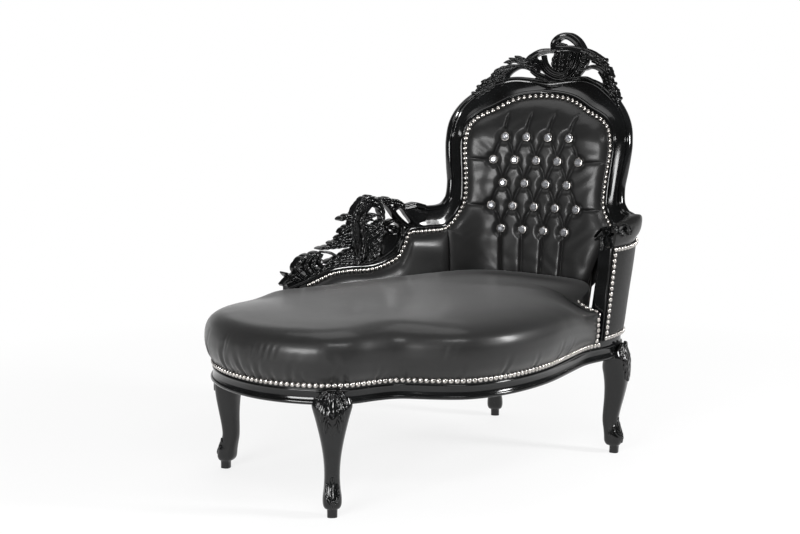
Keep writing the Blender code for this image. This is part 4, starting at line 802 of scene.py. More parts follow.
def leg(name, foot, along):
    shape = Leg(foot, along)
    shaft = laid(name + "_shaft", shape.shaft(), around=True)
    head = seat_rail(name + "_post", along - POST_WIDTH / 2, along + POST_WIDTH / 2)
    work = Carving(shape.on_front, np.array, 0.005)
    work.leaf([(0.0, 0.322), (0.0, 0.300), (0.0, 0.262), (0.0, 0.214)], 0.0165, 0.0052, 5, 0.002)
    work.leaf([(0.0, 0.104), (0.0, 0.080), (0.0, 0.052), (0.0, 0.030)], 0.0100, 0.0040, 3, 0.001)
    work.boss((0.0, 0.3165), 0.0062, 0.006, 0.002)
    work.boss((0.0, 0.046), 0.0048, 0.005, 0.001)
    for side in (-1, 1):
        for points, width, lobes in (([(0.004, 0.320), (0.014, 0.305), (0.023, 0.280), (0.027, 0.250)], 0.0095, 4),
                                     ([(0.002, 0.292), (0.011, 0.272), (0.017, 0.248), (0.018, 0.222)], 0.0075, 3),
                                     ([(0.010, 0.326), (0.022, 0.318), (0.032, 0.302), (0.036, 0.282)], 0.0070, 3),
                                     ([(0.003, 0.036), (0.011, 0.046), (0.0155, 0.064), (0.0150, 0.088)], 0.0062, 3)):
            work.leaf([(side * x, z) for x, z in points], width, 0.0046, lobes, 0.0015)
    return dressed(joined(name + "_dressed", [shaft, head] + work.pieces), LACQUER, "black_lacquer", name)


def leg_places():
    half_span, half_depth = SEAT_LENGTH * LEG_SPAN_SHARE, SEAT_DEPTH * LEG_DEPTH_SHARE
    corners = [(-half_span, -half_depth), (half_span, -half_depth), (half_span, half_depth), (-half_span, half_depth)]
    feet = [np.array(corner) + PLAN_MIDDLE for corner in corners]
    return [(name, foot, RAIL_LOOP.nearest(foot)) for name, foot in zip(LEGS, feet)]


def seat_frame():
    places = leg_places()
    for i, (name, foot, along) in enumerate(places):
        leg(name, foot, along)
        end = places[(i + 1) % 4][2]
        end += RAIL_LOOP.length if end < along else 0.0
        rail = seat_rail(RAILS[i] + "_moulded", along + POST_WIDTH / 2, end - POST_WIDTH / 2)
        dressed(rail, LACQUER, "black_lacquer", RAILS[i])


def show_frame():
    show_rail("back_top_rail_moulded", ARCH_START, ARCH_END, "back_top_rail")
    for name, start, end, side in (("back_left_stile", SIDE_END, ARCH_START, -1),
                                   ("back_right_stile", ARCH_END, ARM_START, 1)):
        show_rail(name + "_moulded", start, end, name)
        post(name + "_foot", *sorted((BACK_CENTRE + side * POST_INNER, BACK_CENTRE + side * POST_OUTER)), POST_HEAD)
    show_rail("side_show_rail_moulded", 0, SIDE_END, "side_show_rail")
    post("side_rail_foot", SIDE_START, SIDE_START + SIDE_POST_WIDTH, SIDE_LADDER[0][3] * HEIGHT - GAP)
    show_rail("arm_show_rail_moulded", ARM_START, LADDER_END, "arm_show_rail")


# Seat

class Cushion:
    """The seat cushion's surface, read at lengths round its edge and at ring numbers."""

    def __init__(self):
        self.rings = smooth(CUSHION_RINGS, RING_STEPS)
        self.spine = in_plan(CUSHION_SPINE)
        marks = np.linspace(0, CUSHION_LOOP.length, 800, endpoint=False)
        x, y = (CUSHION_LOOP.at(marks) - PLAN_MIDDLE).T / np.array([[SEAT_LENGTH], [SEAT_DEPTH]])
        free = ((x < FREE_EDGE_END[0]) & (y < FREE_EDGE_END[1])) | (x < -FREE_EDGE_END[0])
        self.marks, self.free = marks, eased(free.astype(float)[:, None], FREEDOM_EASING, closed=True)[:, 0]

    def freedom(self, marks):
        """1 where the edge stands free over the rail, 0 where the wall holds it."""
        return np.interp(marks % CUSHION_LOOP.length, self.marks, self.free, period=CUSHION_LOOP.length)

    def at(self, marks, numbers):
        marks, numbers = np.broadcast_arrays(np.asarray(marks, float), np.asarray(numbers, float))
        rings = lerp(numbers * RING_STEPS, np.arange(len(self.rings)), self.rings)
        swell, level, inward = np.moveaxis(rings, -1, 0)
        free = self.freedom(marks)
        pressed = (1 - free) * soft_step(marks % CUSHION_LOOP.length, *PRESS_START) * PRESS / SEAT_BULGE
        swell = np.where(swell > 0, swell * (free + pressed), swell)
        edge = CUSHION_LOOP.at(marks, swell * SEAT_BULGE)
        start, reach = self.spine[0], self.spine[1] - self.spine[0]
        share = clamped(((edge - start) @ reach) / (reach @ reach))
        plan = edge + (start + reach * share[..., None] - edge) * inward[..., None]
        return np.concatenate([plan, (RAIL_TOP + level * SEAT_CROWN)[..., None]], -1)


CUSHION = Cushion()


def inside(places, outline):
    """Whether each place lies inside a closed outline."""
    x, y = places[..., 0], places[..., 1]
    found = np.zeros(x.shape, bool)
    for (x1, y1), (x2, y2) in zip(outline, np.roll(outline, -1, axis=0)):
        if y1 != y2:
            found ^= ((y1 > y) != (y2 > y)) & (x < x1 + (y - y1) * (x2 - x1) / (y2 - y1))
    return found


class Crown:
    """How high a skin stretched over the seat's plan and blown up stands above its edge, from 0 to 1."""

    def __init__(self, outline):
        self.low = outline.min(axis=0) - 2 * CROWN_STEP
        counts = ((outline.max(axis=0) - self.low) / CROWN_STEP).astype(int) + 3
        cells = np.stack(np.meshgrid(*(np.arange(count) for count in counts), indexing="ij"), -1)
        places = self.low + cells * CROWN_STEP
        held = ~inside(places, outline)
        skin = np.zeros(held.shape)
        for _ in range(CROWN_ROUNDS):
            skin[1:-1, 1:-1] = (skin[2:, 1:-1] + skin[:-2, 1:-1] + skin[1:-1, 2:] + skin[1:-1, :-2]) / 4 + 1.0
            skin[held] = 0.0
        self.skin = skin / skin.max()

    def at(self, plan):
        spot = (plan - self.low) / CROWN_STEP
        cell = np.floor(spot).astype(int)
        share = spot - cell
        total = 0.0
        for dx in (0, 1):
            for dy in (0, 1):
                weight = (share[..., 0] if dx else 1 - share[..., 0]) * (share[..., 1] if dy else 1 - share[..., 1])
                total = total + weight * self.skin[cell[..., 0] + dx, cell[..., 1] + dy]
        return total


CROWN = Crown(CUSHION.at(np.linspace(0, CUSHION_LOOP.length, 190, endpoint=False), WIDEST_RING)[:, :2])
CORNER = CUSHION_LOOP.nearest(in_plan([CORNER_PLACE])[0])


def seat_surface(marks, numbers):
    """Places on the finished seat: blown up like a skin, full against the wall, lower beside the arm's stump."""
    places = CUSHION.at(marks, numbers)
    level, height = CUSHION_RINGS[WIDEST_RING][1], places[..., 2]
    skin = 1 - (1 - clamped(CROWN.at(places[..., :2]))) ** CROWN_FILL
    blown = RAIL_TOP + SEAT_CROWN * (level + (1 - level) * skin ** CROWN_POWER)
    height = height + (blown - height) * soft_step(numbers, *BLOWN_RINGS)
    free = CUSHION.freedom(marks)
    free = np.where(marks % CUSHION_LOOP.length > FOOT_HALF, free ** 2, free)
    walled = (1 - free) * soft_step(numbers, *WALLED_RINGS) * (1 - soft_step(numbers, *WALLED_FADE))
    height = height + (RAIL_TOP + SEAT_CROWN * WALLED_LEVEL - height) * walled
    away = np.linalg.norm(places[..., :2] - CUSHION_LOOP.at(CORNER), axis=-1)
    lowered = RAIL_TOP + (height - RAIL_TOP) * (1 - CORNER_DROP * bell(away, CORNER_REACH))
    places[..., 2] = np.where(height > RAIL_TOP, lowered, height)
    return places


def seat_folds(marks, numbers):
    """Pull marks rising from the nails, and slight slack in the leather."""
    depth = np.zeros(np.broadcast(marks, numbers).shape)
    round_way = CUSHION_LOOP.length
    for mark, length, size, lean in SEAT_FOLDS:
        off = (marks - mark - lean * numbers + round_way / 2) % round_way - round_way / 2
        width = 0.0026 + 0.0013 * numbers
        reach = (1 - soft_step(numbers, 1.8, 2.2 + 1.5 * length)) * soft_step(numbers, 0.6, 1.6)
        depth -= 1.5 * size * bell(off, width) * reach
        depth += 0.8 * size * bell(np.abs(off) - 1.9 * width, 1.1 * width) * reach
    for mark, size in SEAT_RIPPLES:
        off = (marks - mark - 0.006 * (numbers - RIPPLE_RING) + round_way / 2) % round_way - round_way / 2
        depth -= 1.4 * size * bell(off, 0.0052) * bell(numbers - RIPPLE_RING, 1.0)
    slack = np.sin(marks * 43 + 2.1 * np.sin(marks * 17)) * np.sin(numbers * 1.1 + marks * 5)
    return depth + 0.0002 * slack * soft_step(numbers, 1.5, 3.0)


def met_along_spine(ring):
    """The last ring drawn onto even places along the spine, so that its two sides meet point to point."""
    start, reach = CUSHION.spine[0], CUSHION.spine[1] - CUSHION.spine[0]
    share = clamped((ring[:, :2] - start) @ reach / (reach @ reach))
    order, even = np.argsort(share), np.round(share * SPINE_STEPS) / SPINE_STEPS
    return np.column_stack([start + reach * even[:, None], np.interp(even, share[order], ring[order, 2])])


def seat_cushion():
    marks = np.linspace(0, CUSHION_LOOP.length, SEAT_MARKS, endpoint=False)[None, :]
    numbers = np.linspace(0, len(CUSHION_RINGS) - 1, SEAT_ROWS)[:, None]
    rows = seat_surface(marks, numbers)
    around = np.roll(rows, -1, axis=1) - np.roll(rows, 1, axis=1)
    outward = unit(np.cross(around, np.gradient(rows, axis=0)))
    rows = rows + outward * seat_folds(marks, numbers)[..., None] * (1 - soft_step(numbers, *FOLD_FADE))[..., None]
    rows[-1] = met_along_spine(rows[-1])
    piece = laid("seat_cushion", rows, around=True)
    return dressed(piece, SEAT_LEATHER, "leather", "seat_cover", "seat_foam", fill=0.85, angle=SOFT_ANGLE)


# Tufted back

def distances_to(places, start, end):
    """Each place's distance to a straight line, and how far along it the nearest point lies."""
    start, end = np.array(start), np.array(end)
    reach = end - start
    share = clamped(((places - start) @ reach) / max(reach @ reach, 1e-12))
    return np.linalg.norm(start + reach * share[..., None] - places, axis=-1), share


def distance_to_line(places, line):
    return np.min([distances_to(places, start, end)[0] for start, end in zip(line, line[1:])], axis=0)


def row_pitch_across(height):
    return COLUMN_PITCH + (FIRST_ROW_HEIGHT - 2 * ROW_PITCH - height) * FAN_SHARE


def button_places():
    """Row and column number, and the place along and up, of each button."""
    places = []
    for row, count in enumerate(BUTTON_ROWS):
        height = FIRST_ROW_HEIGHT - row * ROW_PITCH
        for column in range(count):
            across = (column - (count - 1) / 2) * row_pitch_across(height)
            places.append((row + 1, column + 1, BACK_CENTRE + across, height))
    return places


def pleats():
    """The sewn lines: points, share of the full depth, and where along the line it starts to fade."""
    buttons, lines = button_places(), []
    quarter = np.linspace(0, math.pi / 2, 6)
    arch = np.column_stack([np.sin(quarter), 1 - np.cos(quarter)]) * PLEAT_ARCH
    arch = arch + np.linspace(0, 1, 6)[:, None] * (1 - PLEAT_ARCH)
    for i, (row, column, along, height) in enumerate(buttons):
        here = (along, height)
        for other_row, _, other_along, other_height in buttons[i + 1:]:
            if other_row == row + 1 and abs(other_along - along) < COLUMN_PITCH * 0.75:
                reach = np.array((other_along - along, other_height - height))
                lines.append((here + reach * arch, 1.0, 2.0))
        outward = math.copysign(1, along - BACK_CENTRE)
        if row == 1:
            lean = 0.012 + 0.05 * (along - BACK_CENTRE)
            lines.append((np.array([here, (along + lean * 0.4, height + 0.6 * ROW_PITCH),
                                    (along + lean * 1.7, height + 1.5 * ROW_PITCH)]), 0.95, 0.45))
        if row == len(BUTTON_ROWS):
            lines.append((np.array([here, (along, height - 3.4 * ROW_PITCH)]), 1.0, 2.0))
        if BUTTON_ROWS[row - 1] > BUTTON_ROWS[0] and column in (1, BUTTON_ROWS[row - 1]):
            lines.append((np.array([here, (along + outward * 2 * COLUMN_PITCH, height + 0.004)]), 0.85, 2.0))
        if row == 3 and column in (1, BUTTON_ROWS[row - 1]):
            lines.append((np.array([here, (along + outward * 0.8 * COLUMN_PITCH, height - 0.012)]), 0.45, 0.15))
    return lines


class TuftedBack:
    """The buttoned cover: its edges, and how far it stands out towards the sitter."""

    def __init__(self):
        self.nails = LADDER.at(np.linspace(SIDE_END - 1.5, ARM_START + 0.5, 160))[:, :2]
        edge = LADDER.across(np.linspace(SIDE_END, ARM_START, 1200), 0.0, COVER_EDGE - RABBET)[:, 0]
        peak = np.argmax(edge[:, 1])
        self.sides = {-1: edge[:peak], 1: edge[:peak:-1]}
        self.corner = FIRST_ROW_HEIGHT + ROW_PITCH * 0.40
        self.top = edge[edge[:, 1] > self.corner]
        self.lines = pleats()
        self.buttons = np.array([place[2:] for place in button_places()])

    def half_width(self, side, height):
        line = self.sides[side]
        width = np.interp(height, line[:, 1], abs(line[:, 0] - BACK_CENTRE))
        if side < 0:
            return np.minimum(width, BACK_HALF_WIDTH * SEAM_SHARE)
        return np.minimum(width, SLOT_START + np.maximum(height - SLOT_TOP, 0.0) * 0.28)

    def edge_distance(self, places):
        left = places[..., 0] - BACK_CENTRE + self.half_width(-1, places[..., 1])
        right = BACK_CENTRE + self.half_width(1, places[..., 1]) - places[..., 0]
        nails = distance_to_line(places, self.nails) - 0.0075
        return np.minimum(np.minimum(left, right), nails)

    def rise(self, places):
        edge = self.edge_distance(places)
        softened = 0.0
        for line, strength, fade in self.lines:
            away = distance_to_line(places, line)
            share = distances_to(places, line[0], line[-1])[1]
            near = clamped(np.sqrt(away ** 2 + 0.0012 ** 2) / PAD_HALF)
            pad = clamped(1 - (1 - near) ** 2, 1e-4) ** PAD_ROUNDNESS
            pad = 1 - (1 - pad) * strength * (1 - soft_step(share, fade, fade + 0.65))
            softened = softened + np.maximum(pad, 0.02) ** -PLEAT_BLEND
        pads = np.maximum(softened, 1.0) ** (-1 / PLEAT_BLEND)
        for button in self.buttons:
            pads = pads * soft_step(np.linalg.norm(places - button, axis=-1), PIT_INNER, PIT_OUTER) ** 0.6
        rise = LEATHER_THICKNESS + (BACK_PUFF - CREASE_DEPTH * (1 - pads)) * (1 - np.exp(-np.maximum(edge, 0) / 0.015))
        along, height = places[..., 0], places[..., 1]
        waver = np.sin(along * 61 + 3 * np.sin(height * 37)) * np.sin(height * 53 + 2 * np.sin(along * 29))
        return np.maximum(rise + 0.0007 * waver * clamped(edge / 0.03), LEATHER_THICKNESS)

    def places(self):
        across = np.linspace(-1, 1, BACK_COLUMNS)
        left, right = across < 0, across >= 0
        rows = []
        for height in np.arange(PAD_FOOT, FIRST_ROW_HEIGHT, BACK_ROW_STEP):
            reach = np.where(left, self.half_width(-1, height), self.half_width(1, height))
            rows.append(np.column_stack([BACK_CENTRE + across * reach, np.full(len(across), height)]))
        last = rows[-1]
        spread = np.where(right, *(self.half_width(side, self.corner) / self.half_width(side, FIRST_ROW_HEIGHT)
                                   for side in (1, -1)))
        top = BACK_CENTRE + (last[:, 0] - BACK_CENTRE) * spread
        arch = np.column_stack([top, np.interp(top, self.top[:, 0], self.top[:, 1], self.corner, self.corner)])
        for share in np.linspace(0, 1, BACK_ARCH_ROWS + 1)[1:]:
            rows.append(last + (arch - last) * share)
        return np.array(rows)


def turned_in(rows, rest):
    """Rows of along, out and height with one more all round, turned in to this distance out."""
    for _ in range(2):
        first, last = rows[:1].copy(), rows[-1:].copy()
        first[..., 1] = last[..., 1] = rest
        rows = np.concatenate([first, rows, last]).swapaxes(0, 1)
    return rows


def upholstered(name, rows, rest):
    """A cover laid on the wall: its face, its edges turned in to this distance out, and a plain rear."""
    rows = turned_in(rows, rest)
    face = laid(name, WALL.at(*np.moveaxis(rows, -1, 0)), ends=False)
    edge = np.concatenate([rows[0], rows[1:-1, -1], rows[-1, ::-1], rows[-2:0:-1, 0]])
    middle = (edge.min(axis=0) + edge.max(axis=0)) / 2
    rings = np.array([edge + (middle - edge) * share for share in REAR_SHARES])
    rings[..., 1] = rest
    rear = laid(name + "_rear", WALL.at(*np.moveaxis(rings, -1, 0)), around=True, ends=False)
    piece = joined(name, [face, rear])
    worked(SEW, FACE_OUTWARDS)
    return piece


def tufted_back():
    cover = TuftedBack()
    places = cover.places()
    face = np.stack([places[..., 0], -cover.rise(places), places[..., 1]], -1)
    dressed(upholstered("tufted_back", face, COVER_REST), LEATHER, "leather", "back_tufted_cover", "back_foam",
            fill=0.8, angle=SOFT_ANGLE)
    return cover


def squashed(share):
    return bpy.ops.transform.resize, {"value": (1, 1, share)}


def cut_level(height, **side):
    """A level cut at this height, which clears one side and closes the cut."""
    return bpy.ops.mesh.bisect, {"plane_co": (0, 0, height), "plane_no": (0, 0, 1), "use_fill": True, **side}


def button_model():
    """A silver cup with a faceted crystal set in it."""
    cup = added(bpy.ops.mesh.primitive_cylinder_add, vertices=24, radius=BUTTON_RADIUS, depth=0.0036,
                end_fill_type="NGON")
    bpy.ops.object.mode_set(mode="EDIT")
    bpy.ops.mesh.select_mode(type="FACE")
    bpy.ops.mesh.select_all(action="DESELECT")
    bpy.ops.object.mode_set(mode="OBJECT")
    cup.data.polygons[int(np.argmax([face.center.z for face in cup.data.polygons]))].select = True
    bpy.ops.object.mode_set(mode="EDIT")
    for thickness, depth in ((0.0009, 0.0006), (0.0012, 0.0003), (0.0006, -0.0014)):
        bpy.ops.mesh.inset(thickness=thickness, depth=depth)
    bpy.ops.object.mode_set(mode="OBJECT")
    cup.data.materials.append(NICKEL)
    stone = added(bpy.ops.mesh.primitive_uv_sphere_add, segments=8, ring_count=8, radius=BUTTON_RADIUS * 0.86)
    worked(squashed(0.62), cut_level(0.0060, clear_outer=True), cut_level(-0.001, clear_inner=True))
    for vert in stone.data.vertices:
        vert.co.z += 0.0010
    stone.data.materials.append(CRYSTAL)
    return joined("button_model", [cup, stone])


def buttons(cover):
    model = button_model()
    for row, column, along, height in button_places():
        seat = -float(cover.rise(np.array([[along, height]]))[0]) - 0.0040
        node = f"back_button_{row}_{column}"
        place = (*WALL.axes(along, seat, height), WALL.at(along, seat, height))
        dressed(copied(node + "_crystal", model, [place]), CRYSTAL, "crystal", node, angle=FACET_ANGLE)
    bpy.data.objects.remove(model)


# Side and arm

def edge_pad(name, rows, start, end, puff, node):
    """A pad on the wall from its foot up to the nails of a ladder."""
    along = np.linspace(start, end, int((end - start) / PAD_STEP) + 2)
    order = np.argsort(rows[:, 0])
    head = np.interp(along, rows[order, 0], rows[order, 1]) + COVER_EDGE
    levels = np.linspace(0, 1, 64)
    height = PAD_FOOT + (head[None, :] - PAD_FOOT) * levels[:, None]
    under = head[None, :] - height - 2 * COVER_EDGE
    ends = np.minimum(along - start, end - along)[None, :]
    rise = puff * (1 - np.exp(-np.maximum(under, 0) / 0.016)) * (1 - np.exp(-ends / 0.014))
    rise = rise + 0.0016 * np.sin(along * 23 + height * 31) * clamped(under / 0.04) * clamped(ends / 0.04)
    rise = np.maximum(rise, 0.0) + LEATHER_THICKNESS
    face = np.stack(np.broadcast_arrays(along[None, :], -rise, height), -1)
    dressed(upholstered(name, face, COVER_REST), LEATHER, "leather", node, fill=0.7, angle=SOFT_ANGLE)


def side_pad():
    rows = LADDER.at(np.linspace(0, SIDE_END + 3, 600))[:, :2]
    edge_pad("side_pad_leather", rows, SIDE_START + SIDE_POST_WIDTH + GAP,
             BACK_CENTRE - BACK_HALF_WIDTH * SEAM_SHARE, 0.026, "side_pad")


def arm_inner_pad():
    rows = LADDER.at(np.linspace(ARM_START - 2, LADDER_END, 400))[:, :2]
    rows = rows - (0.0, NAIL_MARGIN + 0.0016 + COVER_EDGE)
    edge_pad("arm_inner_pad_leather", rows, BACK_CENTRE + ARM_PAD_ENDS[0], ARM_END - ARM_PAD_ENDS[1], 0.020,
             "arm_inner_pad")


def outer_panel(name, head, start, end, node, slot=0.0):
    """Leather drawn over the wall's rear: a little crowned, with its edges turned in, narrower where the slot is."""
    foot, rest = WALL_FOOT + GAP / 2, FRAME_REAR + GAP / 2
    along = np.linspace(start, end, int((end - start) / PANEL_STEP) + 2)
    head = head[np.argsort(head[:, 0])]
    top, levels = np.interp(along, head[:, 0], head[:, 1]), np.linspace(0, 1, 70)
    height = foot + (top[None, :] - foot) * levels[:, None]
    edge = np.minimum(np.minimum(height - foot, top[None, :] - height),
                      np.minimum(along - start, end - along)[None, :])
    crown = 0.0006 + 0.0026 * (1 - np.exp(-np.maximum(edge, 0) / 0.012))
    crown = crown + 0.0005 * np.sin(along[None, :] * 19 + 2 * np.sin(height * 17)) * clamped(edge / 0.03)
    beside_slot = 1 - soft_step(height, SLOT_TOP, SLOT_TOP + 0.01)
    along = start + (along - start)[None, :] * (1 - slot / (end - start) * beside_slot)
    face = np.stack(np.broadcast_arrays(along, rest + crown, height), -1)
    # The panels take the leather copy that is darkened as painted shade
    dressed(upholstered(name, face, rest), PANEL_LEATHER_PAINTED_SHADE, "leather", node, angle=SOFT_ANGLE)


def arm_cover_head(count):
    """The upper edge of the arm's outer cover."""
    line = LADDER.across(np.linspace(ARM_START - 2, LADDER_END, count), 0.0, 2 * NAIL_MARGIN - RABBET)[:, 0]
    return line - (0.0, ARM_COVER_DROP)


def outer_covers():
    side = LADDER.across(np.linspace(0, SIDE_END + 2, 400), 0.0, NAIL_MARGIN - RABBET)[:, 0]
    outer_panel("side_outer_leather", side, SIDE_START + GAP, BACK_CENTRE - POST_OUTER - GAP, "side_outer_cover")
    back = LADDER.across(np.linspace(SIDE_END, ARM_START, 900), 0.0, RABBET)[:, 0]
    back = back[abs(back[:, 0] - BACK_CENTRE) < POST_OUTER]
    outer_panel("back_outer_leather", back, BACK_CENTRE - POST_OUTER, BACK_CENTRE + POST_OUTER, "back_outer_cover",
                slot=POST_OUTER - SLOT_START)
    outer_panel("arm_outer_leather", arm_cover_head(300), BACK_CENTRE + POST_OUTER + GAP, ARM_TIP - 0.0004,
                "arm_outer_cover")


def arm_stump():
    """The arm's front upright: a slim, slightly waisted block that flares under the arm's scroll."""
    head = ARM_LADDER[-1][1] * HEIGHT - NAIL_MARGIN - GAP
    rings = smooth(STUMP_RINGS, 8)
    turns = np.linspace(0, math.tau, STUMP_SIDES, endpoint=False)
    across, depth = (np.sign(part) * np.abs(part) ** 0.35 for part in (np.cos(turns), np.sin(turns)))
    level, (half, inner, outer) = rings[:, [0]], (rings[:, [column]] * FRAME_REAR for column in (1, 2, 3))
    along = ARM_END + across * half
    out = (inner + outer) / 2 + depth * (outer - inner) / 2
    height = np.broadcast_to(WALL_FOOT + level * (head - WALL_FOOT), along.shape)
    dressed(laid("arm_stump_turned", WALL.at(along, out, height), around=True), LACQUER, "black_lacquer", "arm_stump")


def arm_roll():
    """The padded roll over the arm's rail and down its outer side."""
    shares = np.linspace(0, 1, 54)
    along = ARM_TIP + ROLL_OVERHANG - ROLL_LENGTH * (1 - shares)
    swell = np.sqrt(clamped(np.sin(math.pi * (0.04 + 0.90 * shares)))) ** 0.8
    section = smooth(ROLL_SECTION, 7, closed=True)
    section = section[(section[:, 1] > 0) | (section[:, 0] > ROLL_SIDE - 1e-6)]
    rail = np.interp(along, WALL.length * np.array(ARM_LADDER)[:, 2], HEIGHT * np.array(ARM_LADDER)[:, 3])
    out, rise = section.T
    waver = np.sin(shares * 29 + 2 * np.sin(shares * 9))[:, None]
    gathers = 1 + 0.018 * waver * np.cos(np.linspace(0, math.tau, len(out)) * 2)[None, :]
    above = np.where(rise > 0, rise * swell[:, None] * gathers, rise)
    out = np.where(out > ROLL_SIDE, ROLL_SIDE + (out - ROLL_SIDE) * swell[:, None] * gathers,
                   ROLL_MIDDLE + (out - ROLL_MIDDLE) * gathers)
    rows = WALL.at(along[:, None], out, rail[:, None] + 0.0007 + above)
    dressed(laid("arm_roll", rows, around=True), LEATHER, "leather", "arm_pad", fill=0.8, angle=SOFT_ANGLE)


# Carving

def on_squares(points, corner, steps, lean=(0.0, 0.0), spread=0.0):
    """Points drawn on squares, x to the right and y down, as places along and up the wall."""
    x, y = np.array(points, float).T
    along = corner[0] + (steps[0] + spread * y) * x + lean[0] * y
    return np.column_stack([along, corner[1] - steps[1] * y - lean[1] * x])


def drawn_evenly(line, count):
    """A smooth line through the points, with this many places evenly along it."""
    curve = smooth(line, 14)
    along = lengths_along(curve)
    return lerp(np.linspace(0, along[-1], count), along, curve)


class Carving:
    """Raised work drawn flat, across and up, and laid on a surface, from which relief counts outwards."""

    def __init__(self, onto, squares, depth):
        self.onto, self.squares, self.depth, self.pieces = onto, squares, depth, []

    def strip(self, line, reach, relief):
        """A closed strip on a centre line: half its width and its relief, by share of the length and across."""
        ahead = unit(np.gradient(line, axis=0))
        side = np.column_stack([-ahead[:, 1], ahead[:, 0]])
        across = np.linspace(-1, 1, relief.shape[1])[None, :, None]
        flat = line[:, None] + side[:, None] * reach[:, None, None] * across
        rear = np.full(len(line), -self.depth)[:, None]
        flat = np.concatenate([flat, flat[:, [-1, 0]]], axis=1)
        relief = np.concatenate([relief, rear, rear], axis=1)
        self.pieces.append(laid("carved", self.onto(flat[..., 0], relief, flat[..., 1]), around=True))

    def leaf(self, points, width, relief=0.009, lobes=4, curl=0.0, lift=0.0):
        """A leaf from its stalk to its tip: rounded lobes with notches between, a sunk midrib, hollowed flutes."""
        line = drawn_evenly(self.squares(points), 10 * lobes + 4)
        t = np.linspace(0, 1, len(line))
        outline = 1.50 * (t + 0.05) ** 0.45 * (1.03 - t) ** 0.48
        u = np.linspace(-1, 1, CARVED_COLUMNS)[None, :]
        swept = t[:, None] * lobes - 0.75 * (1 - np.abs(u))
        phase = swept % 1.0
        lobe = np.sqrt(clamped(1 - (1.9 * phase - 0.95) ** 2, 0.0))
        edge = 0.60 + 0.40 * lobe[:, 0]
        crown = 0.30 + 0.70 * np.sqrt(clamped(1 - u ** 2))
        flute = 0.45 + 0.55 * lobe * (0.45 + 0.55 * np.abs(u))
        height = relief * crown * flute * (0.70 + 0.30 * np.sin(math.pi * t[:, None]))
        height = height - relief * 0.34 * bell(u, 0.13) * (1 - 0.7 * t[:, None])
        self.strip(line, width * outline * edge, height + lift + curl * t[:, None] ** 2)

    def scroll(self, points, widths, relief=0.008, rims=0.55, lift=0.0):
        """A moulded band: two raised rims with a hollow between them, or a plain round where rims is 0."""
        line = drawn_evenly(self.squares(points), 12 * len(points))
        t = np.linspace(0, 1, len(line))
        reach = np.interp(t, np.linspace(0, 1, len(widths)), widths)
        u = np.linspace(-1, 1, CARVED_COLUMNS)[None, :]
        hollow = rims * np.cos(clamped(np.abs(u) / 0.62) * math.pi / 2) ** 2
        height = relief * (0.25 + 0.75 * np.sqrt(clamped(1 - u ** 6))) * (1 - hollow)
        self.strip(line, reach, height * np.sqrt(clamped(reach / reach.max()))[:, None] + lift)

    def boss(self, point, radius, rise=0.007, lift=0.0):
        """A rounded eye."""
        middle = self.squares([point])[0]
        turns = np.linspace(0, math.tau, 20, endpoint=False)[None, :]
        size, height = np.array([(1.0, -self.depth / rise), (1.0, 0.0), (0.94, 0.42), (0.76, 0.72), (0.45, 0.93),
                                 (0.15, 1.0)]).T
        x, z = middle[0] + np.cos(turns) * radius * size[:, None], middle[1] + np.sin(turns) * radius * size[:, None]
        relief = np.broadcast_to(height[:, None] * rise + lift, x.shape)
        self.pieces.append(laid("carved", self.onto(x, relief, z), around=True))

    def finished(self, name, node=None):
        piece = joined(name, self.pieces)
        return dressed(piece, LACQUER, "black_lacquer", *([node] if node else []), angle=CARVED_ANGLE)


def snail(middle, radius, start, turns, inner=0.22):
    """A spiral in squares from its outer end to near its eye. Angles in degrees, clockwise with turns above 0."""
    shares = np.linspace(0, 1, SNAIL_STEPS)
    angles = np.radians(start + 360 * turns * shares)
    reach = radius * (1 - (1 - inner) * shares ** 0.85)
    return [(middle[0] + r * math.cos(a), middle[1] + r * math.sin(a)) for a, r in zip(angles, reach)]


